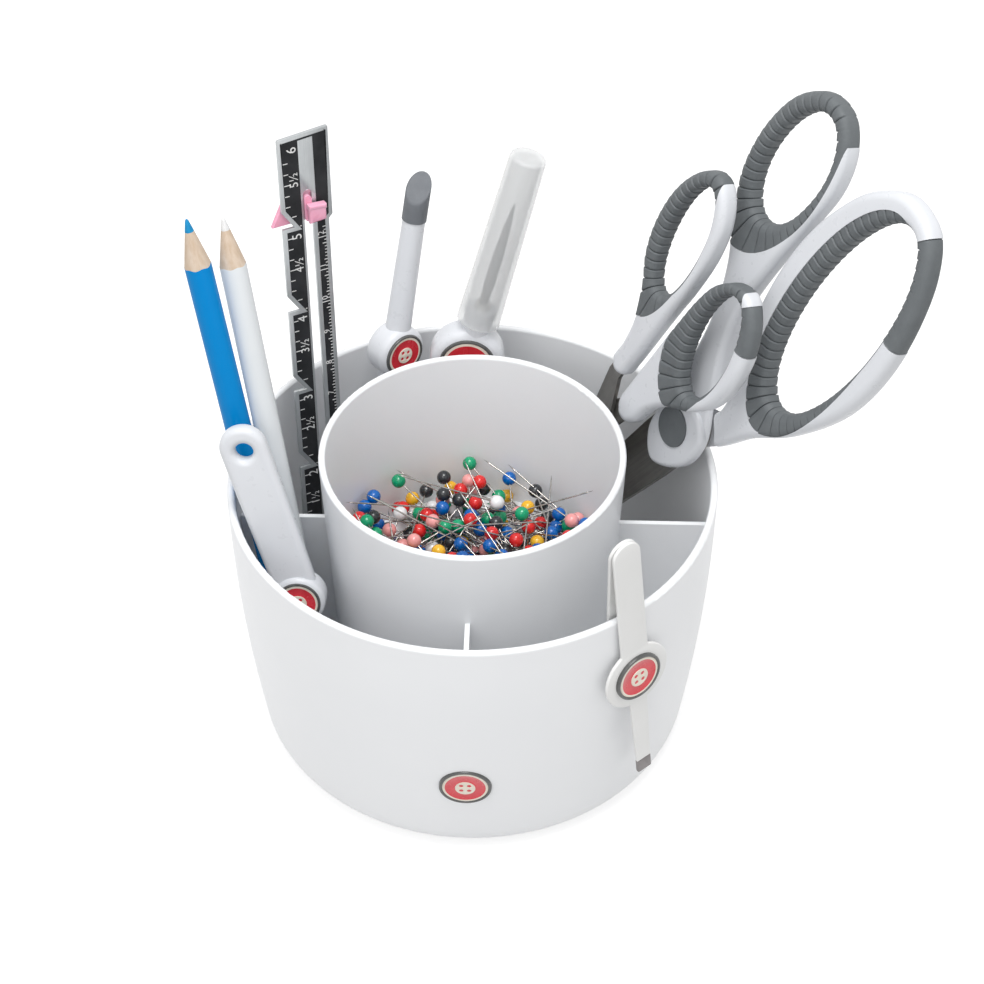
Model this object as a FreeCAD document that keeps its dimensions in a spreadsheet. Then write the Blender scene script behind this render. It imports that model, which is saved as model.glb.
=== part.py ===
import FreeCAD, Part
import math
import os
import random

# Desk organizer for sewing tools: a round bowl with a raised centre cup and three
# divider walls, and the tools that stand in it. Millimetres, +Z up, front is -Y.
# The origin is the centre of the bowl's underside.

Vector = FreeCAD.Vector

SIZES = {
    # bowl
    "bowl_rim_radius": 65.0,
    "bowl_tall": 83.0,
    "bowl_wall": 2.0,
    "bowl_floor": 2.5,
    "bowl_lip_straight": 12.0,
    "bowl_lip_draft": 0.2,
    "bowl_waist_drop": 38.0,
    "bowl_waist_inset": 1.4,
    "bowl_corner_tall": 9.4,
    "bowl_corner_inset": 5.2,
    "bowl_base_inset": 15.5,
    # centre cup and dividers, one moulding
    "cup_rim_inset": 24.5,
    "cup_foot_inset": 13.0,
    "cup_above_rim": 8.8,
    "cup_wall": 1.8,
    "cup_tray_level": 42.0,
    "cup_tray_floor": 2.0,
    "divider_thick": 1.3,
    "divider_below_rim": 15.5,
    "divider_count": 3,
    "divider_fit_gap": 0.2,
    # gaps
    "seat_gap": 0.3,
    "round_foot_lift": 0.6,
    "slide_gap": 0.15,
    "hinge_gap": 0.05,
    # round badges
    "badge_recess": 0.5,
    "badge_bezel_thick": 1.0,
    "badge_disc_thick": 0.8,
    "badge_bezel_band": 1.1,
    "bowl_badge_radius": 6.9,
    "bowl_badge_level": 30.0,
    # fabric shears: stance, then shape seen from the front, from the pivot
    "shears_foot_inset": 2.5,
    "shears_foot_turn": 82.3,
    "shears_rim_inset": 8.1,
    "shears_rim_turn": 19.0,
    "shears_face_turn": -157.7,
    "shears_reach": 102.6,
    "shears_blade_thick": 1.7,
    "shears_handle_thick": 6.2,
    "shears_housing_thick": 4.6,
    "shears_hub_radius": 8.4,
    "shears_hub_clear": 15.3,
    "shears_pin_radius": 2.4,
    "shears_cap_radius": 5.6,
    "shears_cap_thick": 1.0,
    "shears_left_across": -36.4,
    "shears_left_up": 73.8,
    "shears_left_long": 18.5,
    "shears_left_short": 10.2,
    "shears_left_tilt": 9.1,
    "shears_right_across": 3.9,
    "shears_right_up": 69.2,
    "shears_right_long": 34.1,
    "shears_right_short": 13.1,
    "shears_right_tilt": 11.5,
    # craft scissors, the same way
    "snips_foot_inset": 2.4,
    "snips_foot_turn": 88.65,
    "snips_rim_inset": 18.0,
    "snips_rim_turn": 38.7,
    "snips_face_turn": -155.5,
    "snips_reach": 80.8,
    "snips_blade_thick": 1.2,
    "snips_handle_thick": 5.6,
    "snips_hub_radius": 5.2,
    "snips_pin_radius": 1.6,
    "snips_cap_radius": 3.2,
    "snips_cap_thick": 0.8,
    "snips_left_across": -13.0,
    "snips_left_up": 66.9,
    "snips_left_long": 18.4,
    "snips_left_short": 7.1,
    "snips_left_tilt": 9.1,
    "snips_right_across": 14.3,
    "snips_right_up": 58.3,
    "snips_right_long": 17.6,
    "snips_right_short": 7.6,
    "snips_right_tilt": 9.5,
    "blade_gap": 0.05,
    # measuring gauge
    "gauge_foot_inset": 1.9,
    "gauge_foot_turn": 151.7,
    "gauge_rim_inset": 11.7,
    "gauge_rim_turn": 144.3,
    "gauge_face_turn": -60.0,
    "gauge_wide": 14.4,
    "gauge_tall": 162.0,
    "gauge_thick": 0.9,
    "gauge_zero": 7.9,
    "gauge_notches": 5,
    "gauge_notch_deep": 3.3,
    "gauge_notch_tall": 5.0,
    "gauge_slant": 1.0,
    "gauge_slot_wide": 3.0,
    "gauge_slot_start": 12.0,
    "gauge_slot_end": 146.0,
    "gauge_slot_across": 1.6,
    "slider_level": 139.5,
    "slider_wide": 9.0,
    "slider_tall": 8.0,
    "slider_thick": 1.6,
    "slider_pointer": 2.4,
    "inch": 25.4,
    "gauge_step": 1.1,
    "slider_knob_wide": 6.0,
    "slider_knob_thick": 2.6,
    # seam ripper with its cap
    "ripper_foot_inset": 3.3,
    "ripper_foot_turn": 122.2,
    "ripper_rim_inset": 17.8,
    "ripper_rim_turn": 94.6,
    "ripper_face_turn": -90.0,
    "ripper_boss_level": 85.6,
    "ripper_boss_radius": 10.4,
    "ripper_boss_thick": 8.6,
    "ripper_badge_radius": 7.8,
    "ripper_handle_wide": 9.0,
    "ripper_handle_thick": 5.4,
    "ripper_neck_radius": 4.1,
    "ripper_neck_top": 16.5,
    "ripper_spike_radius": 1.3,
    "ripper_spike_top": 53.0,
    "ripper_collar_radius": 2.4,
    "ripper_collar_top_radius": 1.92,
    "ripper_collar_tall": 2.0,
    "ripper_spike_thick": 0.9,
    "ripper_handle_round": 1.8,
    "ripper_boss_round": 2.6,
    "ripper_cap_start": 12.0,
    "ripper_cap_top": 69.0,
    "ripper_cap_radius": 5.3,
    "ripper_cap_top_radius": 4.35,
    "ripper_cap_wall": 1.0,
    # point presser with a soft tip
    "presser_foot_inset": 1.9,
    "presser_foot_turn": 138.4,
    "presser_rim_inset": 10.4,
    "presser_rim_turn": 115.8,
    "presser_face_turn": -50.0,
    "presser_boss_level": 85.4,
    "presser_boss_radius": 7.6,
    "presser_boss_thick": 8.6,
    "presser_badge_radius": 6.1,
    "presser_handle_wide": 7.4,
    "presser_handle_thick": 5.4,
    "presser_handle_round": 1.8,
    "presser_boss_round": 2.4,
    "presser_shaft_radius": 3.7,
    "presser_shaft_top_radius": 3.15,
    "presser_tip_start": 39.5,
    "presser_tip_top": 55.0,
    "presser_tip_slant": 9.0,
    # lint brush
    "brush_foot_inset": 2.3,
    "brush_foot_turn": -125.4,
    "brush_rim_inset": 10.1,
    "brush_rim_turn": -160.4,
    "brush_face_turn": -88.0,
    "brush_boss_level": 60.7,
    "brush_boss_radius": 7.0,
    "brush_boss_thick": 7.0,
    "brush_badge_radius": 5.9,
    "brush_handle_wide": 11.4,
    "brush_handle_thick": 4.2,
    "brush_handle_top": 116.2,
    "brush_hole_drop": 6.8,
    "brush_hole_radius": 2.1,
    "brush_hole_bevel": 1.0,
    "brush_handle_round": 1.4,
    "brush_boss_round": 1.2,
    "brush_head_round": 1.2,
    "brush_neck_radius": 3.0,
    "brush_head_start": 14.0,
    "brush_head_tall": 8.0,
    "brush_head_wide": 10.0,
    "brush_head_thick": 5.4,
    "brush_tuft_wide": 8.0,
    "brush_tuft_top_wide": 7.0,
    "brush_tuft_thick": 3.8,
    # tweezers hung over the rim
    "tweezers_turn": -51.0,
    "tweezers_swing": 4.6,
    "tweezers_above_rim": 25.5,
    "tweezers_long": 82.8,
    "tweezers_tip": 4.2,
    "tweezers_thick": 1.0,
    "tweezers_top_wide": 8.4,
    "tweezers_low_wide": 6.0,
    "tweezers_tip_wide": 4.4,
    "tweezers_disc_level": 46.5,
    "tweezers_disc_radius": 9.9,
    "tweezers_badge_radius": 7.0,
    "tweezers_rim_gap": 0.35,
    "tweezers_inner_rim_gap": 0.9,
    # hexagonal marking pencils
    "pencil_flats": 6.4,
    "pencil_cone": 14.0,
    "pencil_lead": 3.4,
    "pencil_point_radius": 0.35,
    "pencil_roll": 30.0,
    "blue_pencil_long": 161.5,
    "blue_pencil_foot_inset": 1.3,
    "blue_pencil_foot_turn": -160.2,
    "blue_pencil_rim_inset": 6.9,
    "blue_pencil_rim_turn": -174.7,
    "blue_pencil_face_turn": -90.0,
    "white_pencil_long": 159.5,
    "white_pencil_foot_inset": 4.4,
    "white_pencil_foot_turn": -148.5,
    "white_pencil_rim_inset": 14.0,
    "white_pencil_rim_turn": -174.3,
    "white_pencil_face_turn": -90.0,
    # ball-headed pins in the cup
    "pin_head_radius": 1.9,
    "pin_shaft_radius": 0.3,
    "pin_long": 32.0,
    "pin_drop_step": 0.3,
    "pin_air": 0.06,
    "pin_count": 66,
}

doc = FreeCAD.newDocument("organizer")
sheet = doc.addObject("Spreadsheet::Sheet", "Sizes")
for row, (name, value) in enumerate(SIZES.items(), start=1):
    sheet.set(f"A{row}", name)
    sheet.set(f"B{row}", str(value))
    sheet.setAlias(f"B{row}", name)
doc.recompute()


def size(name):
    return float(sheet.get(name))


# ---------- shared helpers ----------

X_AXIS = Vector(1, 0, 0)
Y_AXIS = Vector(0, 1, 0)
Z_AXIS = Vector(0, 0, 1)
NO_TURN = FreeCAD.Rotation()
TO_FRONT = FreeCAD.Rotation(X_AXIS, 90)
nodes = {}


def polar(radius, turn, level=0.0):
    angle = math.radians(turn)
    return Vector(radius * math.cos(angle), radius * math.sin(angle), level)


def at(x=0.0, y=0.0, z=0.0, rotation=NO_TURN):
    return FreeCAD.Placement(Vector(x, y, z), rotation)


def keep(node, thing, placement=None):
    thing.Label = node
    if placement is not None:
        thing.Placement = placement
    nodes[node] = thing
    return thing


def make(kind, name, placement=None, **expressions):
    """A Part object whose sizes follow the sheet."""
    thing = doc.addObject(kind, name)
    for prop, expression in expressions.items():
        thing.setExpression(prop, expression)
    if placement is not None:
        thing.Placement = placement
    return thing


def fuse(name, *things):
    whole = doc.addObject("Part::MultiFuse", name)
    whole.Shapes = list(things)
    whole.Refine = True
    return whole


def cut(name, base, tool):
    result = doc.addObject("Part::Cut", name)
    result.Base = base
    result.Tool = tool
    return result


def common(name, first, second):
    result = doc.addObject("Part::MultiCommon", name)
    result.Shapes = [first, second]
    return result


def new_body(name):
    return doc.addObject("PartDesign::Body", name)


def new_sketch(body, name, curves, role="XZ_Plane", offset=0.0):
    plane = next(item for item in body.Origin.OriginFeatures if item.Role == role)
    sketch = body.newObject("Sketcher::SketchObject", name)
    sketch.AttachmentSupport = [(plane, "")]
    sketch.MapMode = "FlatFace"
    sketch.AttachmentOffset = at(z=offset)
    for curve in curves:
        sketch.addGeometry(curve)
    return sketch


def add_pad(body, name, curves, thick, offset=0.0, role="XZ_Plane", middle=True, pocket=False):
    """Pad or pocket curves drawn on a plane; thick is an expression."""
    sketch = new_sketch(body, name + "_outline", curves, role, offset)
    kind = "PartDesign::Pocket" if pocket else "PartDesign::Pad"
    pad = body.newObject(kind, name)
    pad.Profile = sketch
    pad.Midplane = middle
    pad.setExpression("Length", thick)
    return pad


def round_all(body, name, base, radius):
    doc.recompute()
    fillet = body.newObject("PartDesign::Fillet", name)
    count = len(base.Shape.Edges)
    fillet.Base = (base, [f"Edge{index + 1}" for index in range(count)])
    fillet.setExpression("Radius", radius)
    return fillet


def flat(points):
    return [Vector(across, up, 0) for across, up in points]


def polygon(points):
    corners = flat(points)
    ends = corners[1:] + corners[:1]
    return [Part.LineSegment(start, end) for start, end in zip(corners, ends)]


def smooth_loop(points):
    curve = Part.BSplineCurve()
    curve.interpolate(flat(points), PeriodicFlag=True)
    return [curve]


def circle(across, up, radius):
    return Part.Circle(Vector(across, up, 0), Z_AXIS, radius)


def ellipse(across, up, long_half, short_half, tilt):
    """Ellipse whose long axis leans to the left of upright by tilt degrees."""
    lean = math.radians(tilt)
    centre = Vector(across, up, 0)
    long_end = centre + Vector(-math.sin(lean), math.cos(lean), 0) * long_half
    short_end = centre + Vector(math.cos(lean), math.sin(lean), 0) * short_half
    return Part.Ellipse(long_end, short_end, centre)


# ---------- bowl ----------

rim_level = size("bowl_tall")
rim_radius = size("bowl_rim_radius")
floor_level = size("bowl_floor")
rim_inside = rim_radius - size("bowl_wall")
lip_level = rim_level - size("bowl_lip_straight")
lip_radius = rim_radius - size("bowl_lip_draft")
waist_level = rim_level - size("bowl_waist_drop")
waist_radius = rim_radius - size("bowl_waist_inset")
corner_level = size("bowl_corner_tall")
corner_radius = rim_radius - size("bowl_corner_inset")
base_radius = rim_radius - size("bowl_base_inset")
HALF = 0.5
REACH = 4  # how many thicknesses a cutting tool runs through
BULGE = math.sqrt(HALF)


def bend_point(inset, level_low):
    """Middle of the rounded corner between the floor and the wall."""
    across = corner_radius - inset - base_radius
    up = corner_level - level_low
    return Vector(base_radius + across * BULGE, corner_level - up * BULGE, 0)


def wall_curves(inset, low):
    """Floor corner, belly arc and straight lip of the wall, moved in by inset."""
    base = Vector(base_radius, low, 0)
    corner = Vector(corner_radius - inset, corner_level, 0)
    waist = Vector(waist_radius - inset, waist_level, 0)
    lip = Vector(lip_radius - inset, lip_level, 0)
    return [
        Part.Arc(base, bend_point(inset, low), corner),
        Part.Arc(corner, waist, lip),
    ]


def belly_circle():
    corner = Vector(corner_radius, corner_level, 0)
    waist = Vector(waist_radius, waist_level, 0)
    lip = Vector(lip_radius, lip_level, 0)
    return Part.Circle(corner, waist, lip)


def wall_at(level):
    """Outer radius of the wall and its slope from upright, in degrees."""
    arc = belly_circle()
    rise = level - arc.Center.y
    radius = arc.Center.x + math.sqrt(arc.Radius ** 2 - rise ** 2)
    slope = math.degrees(math.asin(-rise / arc.Radius))
    return radius, slope


def ring_lip(outer, inner, level):
    """Half-round top edge of a wall."""
    middle = (outer + inner) / 2
    crown = (outer - inner) / 2
    start = Vector(outer, level - crown, 0)
    top = Vector(middle, level, 0)
    end = Vector(inner, level - crown, 0)
    return Part.Arc(start, top, end), start, end


def line(start, end):
    return Part.LineSegment(start, end)


def revolve(body, name, curves):
    sketch = new_sketch(body, name + "_outline", curves)
    turned = body.newObject("PartDesign::Revolution", name)
    turned.Profile = sketch
    turned.ReferenceAxis = (sketch, ["V_Axis"])
    turned.Angle = 360
    return turned


def make_bowl():
    lip, lip_out, lip_in = ring_lip(rim_radius, rim_inside, rim_level)
    outer = wall_curves(0.0, 0.0)
    inner = wall_curves(size("bowl_wall"), floor_level)
    curves = [line(Vector(0, 0, 0), Vector(base_radius, 0, 0))]
    curves += outer
    curves.append(line(Vector(lip_radius, lip_level, 0), lip_out))
    curves.append(lip)
    curves.append(line(lip_in, Vector(lip_radius - size("bowl_wall"), lip_level, 0)))
    curves += inner
    curves.append(line(Vector(base_radius, floor_level, 0), Vector(0, floor_level, 0)))
    curves.append(line(Vector(0, floor_level, 0), Vector(0, 0, 0)))
    body = new_body("bowl_shell")
    revolve(body, "bowl_turned", curves)
    return body


def badge_seat(level):
    """Placement on the bowl's front whose +Z points straight out of the wall."""
    radius, slope = wall_at(level)
    outward = Vector(0, -math.cos(math.radians(slope)), -math.sin(math.radians(slope)))
    depth = outward * -size("badge_recess")
    return FreeCAD.Placement(Vector(0, -radius, level) + depth, FreeCAD.Rotation(Z_AXIS, outward))


def make_badge(prefix, radius_name, placement):
    """Bezel ring and the disc inside it, standing on the placement's plane."""
    outer = make("Part::Cylinder", prefix + "_bezel_blank", Radius=f"Sizes.{radius_name}",
                 Height="Sizes.badge_bezel_thick")
    hole = make("Part::Cylinder", prefix + "_bezel_hole",
                Radius=f"Sizes.{radius_name} - Sizes.badge_bezel_band",
                Height="Sizes.badge_bezel_thick")
    keep(prefix + "_badge_bezel", cut(prefix + "_bezel_ring", outer, hole), placement)
    disc = make("Part::Cylinder", prefix + "_disc",
                Radius=f"Sizes.{radius_name} - Sizes.badge_bezel_band",
                Height="Sizes.badge_disc_thick")
    keep(prefix + "_badge_disc", disc, placement)


def bowl_pieces():
    shell = make_bowl()
    seat = badge_seat(size("bowl_badge_level"))
    recess = make("Part::Cylinder", "bowl_badge_recess", seat,
                  Radius="Sizes.bowl_badge_radius + Sizes.hinge_gap",
                  Height=f"Sizes.badge_bezel_thick * {REACH}")
    keep("outer_bowl", cut("bowl_with_recess", shell, recess))
    make_badge("bowl", "bowl_badge_radius", seat)


# ---------- centre cup with its divider walls ----------

cup_rim_radius = rim_radius - size("cup_rim_inset")
cup_foot_radius = base_radius - size("cup_foot_inset")


def cup_outer(level):
    share = (level - floor_level) / (rim_level + size("cup_above_rim") - floor_level)
    return cup_foot_radius + share * (cup_rim_radius - cup_foot_radius)


def cup_pieces():
    wall = size("cup_wall")
    top = rim_level + size("cup_above_rim")
    tray = size("cup_tray_level")
    under = tray - size("cup_tray_floor")
    lip, lip_out, lip_in = ring_lip(cup_rim_radius, cup_rim_radius - wall, top)
    foot_out = Vector(cup_outer(floor_level), floor_level, 0)
    foot_in = Vector(foot_out.x - wall, floor_level, 0)
    tray_in = Vector(cup_outer(tray) - wall, tray, 0)
    under_in = Vector(cup_outer(under) - wall, under, 0)
    body = new_body("cup_insert")
    revolve(body, "cup_turned", [
        line(Vector(0, tray, 0), tray_in),
        line(tray_in, lip_in),
        lip,
        line(lip_out, foot_out),
        line(foot_out, foot_in),
        line(foot_in, under_in),
        line(under_in, Vector(0, under, 0)),
        line(Vector(0, under, 0), Vector(0, tray, 0)),
    ])
    # one divider from inside the cup wall to the bowl wall, then turned round to the others
    gap = size("divider_fit_gap") + size("bowl_wall")
    level = rim_level - size("divider_below_rim")
    outer = wall_curves(gap, floor_level)
    radius, _ = wall_at(level)
    end = Vector(radius - gap, level, 0)
    corner = Vector(corner_radius - gap, corner_level, 0)
    waist = Vector(waist_radius - gap, waist_level, 0)
    start_low = Vector(foot_out.x - wall / 2, floor_level, 0)
    start_high = Vector(cup_outer(level) - wall / 2, level, 0)
    add_pad(body, "divider", [
        line(start_low, Vector(base_radius, floor_level, 0)),
        outer[0],
        Part.Arc(corner, waist, end),
        line(end, start_high),
        line(start_high, start_low),
    ], "Sizes.divider_thick")
    pattern = body.newObject("PartDesign::PolarPattern", "divider_ring")
    pattern.Originals = [doc.getObject("divider")]
    pattern.Axis = (doc.getObject("cup_turned_outline"), ["V_Axis"])
    pattern.Angle = 180
    pattern.Reversed = True
    pattern.setExpression("Occurrences", "Sizes.divider_count")
    body.Tip = pattern
    keep("divider_cup", body)


# ---------- how a tool stands in the bowl ----------

def upright_frame(foot, lean_to, face_turn):
    """Placement whose +Z runs from foot to lean_to and whose -Y faces face_turn."""
    axis = (lean_to - foot).normalize()
    facing = polar(1.0, face_turn)
    facing = (facing - axis * facing.dot(axis)).normalize()
    across = (facing * -1).cross(axis)
    return FreeCAD.Placement(foot, FreeCAD.Rotation(across, facing * -1, axis, "ZYX"))


def stance(tool, half_foot):
    """Tool frame with its origin at the middle of the foot, resting on the bowl's floor."""
    foot = polar(base_radius - size(tool + "_foot_inset"), size(tool + "_foot_turn"), floor_level)
    lean_to = polar(rim_radius - size(tool + "_rim_inset"), size(tool + "_rim_turn"), rim_level)
    run = math.hypot(lean_to.x - foot.x, lean_to.y - foot.y)
    lean = math.atan2(run, rim_level - floor_level)
    foot.z += size("seat_gap") + half_foot * math.sin(lean)
    return upright_frame(foot, lean_to, size(tool + "_face_turn"))


def lifted(frame, up, front=0.0):
    """The same frame moved along its own +Z, and towards its front."""
    return frame.multiply(at(y=-front, z=up))


def bar(low, high, half, across=0.0):
    """Straight bar along Z with rounded ends."""
    right_low = Vector(across + half, low + half, 0)
    right_high = Vector(across + half, high - half, 0)
    left_high = Vector(across - half, high - half, 0)
    left_low = Vector(across - half, low + half, 0)
    return [
        line(right_low, right_high),
        Part.Arc(right_high, Vector(across, high, 0), left_high),
        line(left_high, left_low),
        Part.Arc(left_low, Vector(across, low, 0), right_low),
    ]


def rounded_pad(name, curves, thick, rounding, offset=0.0, middle=True):
    body = new_body(name)
    pad = add_pad(body, name + "_pad", curves, thick, offset, middle=middle)
    round_all(body, name + "_round", pad, rounding)
    return body


def plain_pad(name, curves, thick, offset=0.0, middle=True):
    body = new_body(name)
    add_pad(body, name + "_pad", curves, thick, offset, middle=middle)
    return body


def cone(name, low, high, radius_low, radius_high):
    """Cone or cylinder along Z; each radius is a number or an expression."""
    thing = doc.addObject("Part::Cone", name)
    thing.Placement = at(z=low)
    thing.Height = high - low
    for prop, radius in (("Radius1", radius_low), ("Radius2", radius_high)):
        if isinstance(radius, str):
            thing.setExpression(prop, radius)
        else:
            setattr(thing, prop, radius)
    return thing


def boss_badge(tool, frame):
    """Badge set into the front of a tool's round boss, and the recess that it needs."""
    front = size(tool + "_boss_thick") / 2 - size("badge_recess")
    level = size(tool + "_boss_level")
    recess = make("Part::Cylinder", tool + "_badge_recess",
                  at(y=-front, z=level, rotation=TO_FRONT),
                  Radius=f"Sizes.{tool}_badge_radius + Sizes.hinge_gap",
                  Height=f"Sizes.badge_bezel_thick * {REACH}")
    seat = frame.multiply(at(y=-front, z=level, rotation=TO_FRONT))
    make_badge(tool, tool + "_badge_radius", seat)
    return recess


# ---------- shears and scissors ----------

# outlines seen from the front, across and up from the pivot, through which a smooth curve runs
SHEARS_FRONT = [
    (-37.1, 96.4), (-29.5, 92.1), (-24.2, 83.5), (-21.6, 70), (-19.2, 55), (-15.2, 38.5),
    (-8.6, 26.5), (0.6, 16.2), (8.8, 7.6), (10.6, -1), (8.2, -9.4), (2.4, -14.2), (-4.4, -11.4),
    (-8.4, -2), (-13.4, 12), (-19.6, 27), (-28.5, 39.5), (-38.5, 48), (-47, 58), (-51.6, 72),
    (-51.2, 85), (-45.6, 94),
]
SHEARS_BACK = [
    (0.4, 107.9), (8.8, 102), (16.8, 90), (22.7, 74.7), (24.7, 58.3), (20.8, 37.6), (14.8, 23.5),
    (11.4, 11), (7.8, 1.6), (4.8, -6), (-0.6, -8.8), (-5.8, -5.4), (-6.6, 1), (-2.4, 8), (3.2, 15),
    (2.2, 21.5), (-1.5, 28), (-6.4, 35), (-10.4, 44.5), (-14.6, 56.5), (-17.2, 69), (-18.1, 82),
    (-16.4, 95.5), (-9.8, 105.6),
]
SHEARS_HOUSING = [
    (-7.6, -0.3), (-4.6, 7), (1.6, 10.2), (8, 8), (10.7, 0), (9, -7.4), (3, -14.4), (-4.6, -10.6),
]
SHEARS_BLADE = [
    (8.5, 3), (8.3, -15), (7, -40), (4, -75), (0.5, -102.6), (-0.3, -102.6), (-1.5, -15), (-6.5, 3),
]
SHEARS_BACK_WEDGE = [(-2, 100.5), (6.5, 117.5), (20.5, 121.5), (34.5, 105.5), (24.8, 91.5), (14.5, 73.5)]

SNIPS_FRONT = [
    (-12, 89), (-6.4, 83.4), (-3.2, 74), (-2, 60), (-1.9, 42), (-1.9, 26), (-2.4, 20.6), (-5.4, 18.9),
    (-8.5, 21), (-8.9, 28), (-10.8, 36.5), (-15.5, 44.5), (-21.4, 52), (-25, 62.5), (-25.3, 75),
    (-21, 86.2), (-16.4, 89.8),
]
SNIPS_BACK = [
    (14, 79.7), (19.6, 76.8), (24.4, 69.8), (27.2, 58.5), (26, 47.5), (21.5, 39), (15, 31.3),
    (11.4, 23.5), (10.3, 16.7), (8.2, 13.4), (4.8, 12.7), (1.9, 15.6), (1.4, 22.4), (1.3, 36),
    (1.2, 50), (1.6, 62.3), (3.4, 70.5), (7.8, 77),
]
SNIPS_BLADE = [
    (5.2, 2), (5, -12), (4.2, -35), (2.4, -62), (0.4, -80.8), (-0.3, -80.8), (-1.1, -12), (-4, 2),
    (-7.6, 17), (-7.2, 32), (-3.4, 32), (-3, 18), (3.4, 6),
]
SNIPS_BACK_WEDGE = [(12.9, 72.6), (19.9, 88.6), (27.9, 91.6), (38.9, 77.6), (30.9, 74.1), (19.9, 63.6)]

# soft grips: how far their edge stands out from the finger hole's, and how it is moved and leant
SHEARS_FRONT_GRIP = {"across": -3.6, "up": -1.3, "long": 11.5, "short": 6.8, "tilt": 3.9}
SHEARS_BACK_GRIP = {"across": -0.7, "up": -4.2, "long": 4.9, "short": 2.9, "tilt": 2.6}
SNIPS_FRONT_GRIP = {"across": -4.6, "up": -0.3, "long": 11.6, "short": 4.7, "tilt": 1.9}
SNIPS_BACK_GRIP = {"across": -3.6, "up": -1.7, "long": 7.4, "short": 3.9, "tilt": 0.5}

SCISSORS = {
    "shears": {
        "left": (SHEARS_FRONT, None, SHEARS_FRONT_GRIP),
        "right": (SHEARS_BACK, SHEARS_BACK_WEDGE, SHEARS_BACK_GRIP),
        "blade": SHEARS_BLADE,
        "housing": SHEARS_HOUSING,
    },
    "snips": {
        "left": (SNIPS_FRONT, None, SNIPS_FRONT_GRIP),
        "right": (SNIPS_BACK, SNIPS_BACK_WEDGE, SNIPS_BACK_GRIP),
        "blade": SNIPS_BLADE,
        "housing": None,
    },
}


def hole_numbers(tool, side):
    """Centre, half axes and lean of a finger hole."""
    keys = ("across", "up", "long", "short", "tilt")
    return {key: size(f"{tool}_{side}_{key}") for key in keys}


def loop_handle(tool, side, outline, hole):
    """Handle plate with its finger hole."""
    body = new_body(f"{tool}_{side}_loop")
    name = f"{tool}_{side}_plate"
    add_pad(body, name, smooth_loop(outline), f"Sizes.{tool}_handle_thick")
    opening = [ellipse(hole["across"], hole["up"], hole["long"], hole["short"], hole["tilt"])]
    add_pad(body, name + "_hole", opening, f"Sizes.{tool}_handle_thick * {REACH}", pocket=True)
    return body


def grip_zone(tool, side, hole, wedge, grip):
    """Space that the soft grip takes: round the finger hole, and right across the top."""
    across = f"Sizes.{tool}_handle_thick * {REACH}"
    around = [ellipse(hole["across"] + grip["across"], hole["up"] + grip["up"],
                      hole["long"] + grip["long"], hole["short"] + grip["short"],
                      hole["tilt"] + grip["tilt"])]
    band = plain_pad(f"{tool}_{side}_band", around, across)
    if wedge is None:
        return band
    return fuse(f"{tool}_{side}_zone", band, plain_pad(f"{tool}_{side}_wedge", polygon(wedge), across))


def hub_space(tool, side):
    """Round space at the pivot that belongs to the blades and to the other handle."""
    start = size("blade_gap") + size(tool + "_blade_thick")
    deep = size(tool + "_handle_thick") * REACH
    front = start if side == "right" else deep - start
    space = make("Part::Cylinder", f"{tool}_{side}_hub_space", at(y=front, rotation=TO_FRONT),
                 Radius=f"Sizes.{tool}_hub_clear")
    space.Height = deep
    return space


def scissor_handle(tool, side, blade, frame):
    outline, wedge, grip = SCISSORS[tool][side]
    housing = SCISSORS[tool]["housing"]
    hole = hole_numbers(tool, side)
    name = f"{tool}_{side}"
    solid = loop_handle(tool, side, outline, hole)
    if housing and side == "left":
        block = plain_pad(name + "_housing", smooth_loop(housing), f"Sizes.{tool}_housing_thick",
                          middle=False)
        solid = fuse(name + "_housed", solid, block)
    if housing:
        solid = cut(name + "_lapped", solid, hub_space(tool, side))
        if side == "left":
            solid = cut(name + "_bored", solid, pivot_bore(tool))
    else:
        solid = cut(name + "_on_tang", solid, blade)
    zone = grip_zone(tool, side, hole, wedge, grip)
    keep(name + "_handle", cut(name + "_white", solid, zone), frame)
    keep(name + "_grip", common(name + "_soft", solid, zone), frame)


def pivot_front(tool):
    """How far in front of the middle plane the pivot pin ends, under its cap."""
    if SCISSORS[tool]["housing"]:
        return size(tool + "_housing_thick") - size("badge_recess")
    return size("blade_gap") + size(tool + "_blade_thick")


def pivot_bore(tool):
    """Hole for the pivot pin and the wider seat of its cap."""
    bore = make("Part::Cylinder", tool + "_bore",
                at(y=size(tool + "_handle_thick"), rotation=TO_FRONT),
                Radius=f"Sizes.{tool}_pin_radius + Sizes.hinge_gap",
                Height=f"Sizes.{tool}_handle_thick * {REACH}")
    seat = make("Part::Cylinder", tool + "_cap_seat",
                at(y=-pivot_front(tool), rotation=TO_FRONT),
                Radius=f"Sizes.{tool}_cap_radius + Sizes.hinge_gap",
                Height=f"Sizes.{tool}_handle_thick")
    return fuse(tool + "_bores", bore, seat)


def scissor_blade(tool, side, frame):
    """Flat blade with a round hub; the back one is the front one turned over."""
    thick = size(tool + "_blade_thick")
    gap = size("blade_gap")
    outline = SCISSORS[tool]["blade"]
    offset = gap
    if side == "right":
        outline = [(-across, up) for across, up in outline]
        offset = -gap - thick
    name = f"{tool}_{side}_blade"
    thickness = f"Sizes.{tool}_blade_thick"
    edge = plain_pad(name + "_flat", polygon(outline), thickness, offset, middle=False)
    hub = plain_pad(name + "_hub", [circle(0, 0, size(tool + "_hub_radius"))], thickness, offset,
                    middle=False)
    whole = fuse(name + "_whole", edge, hub)
    bore = make("Part::Cylinder", name + "_bore",
                at(y=size(tool + "_handle_thick"), rotation=TO_FRONT),
                Radius=f"Sizes.{tool}_pin_radius + Sizes.hinge_gap",
                Height=f"Sizes.{tool}_handle_thick * {REACH}")
    return keep(name, cut(name + "_bored", whole, bore), frame), whole


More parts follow.
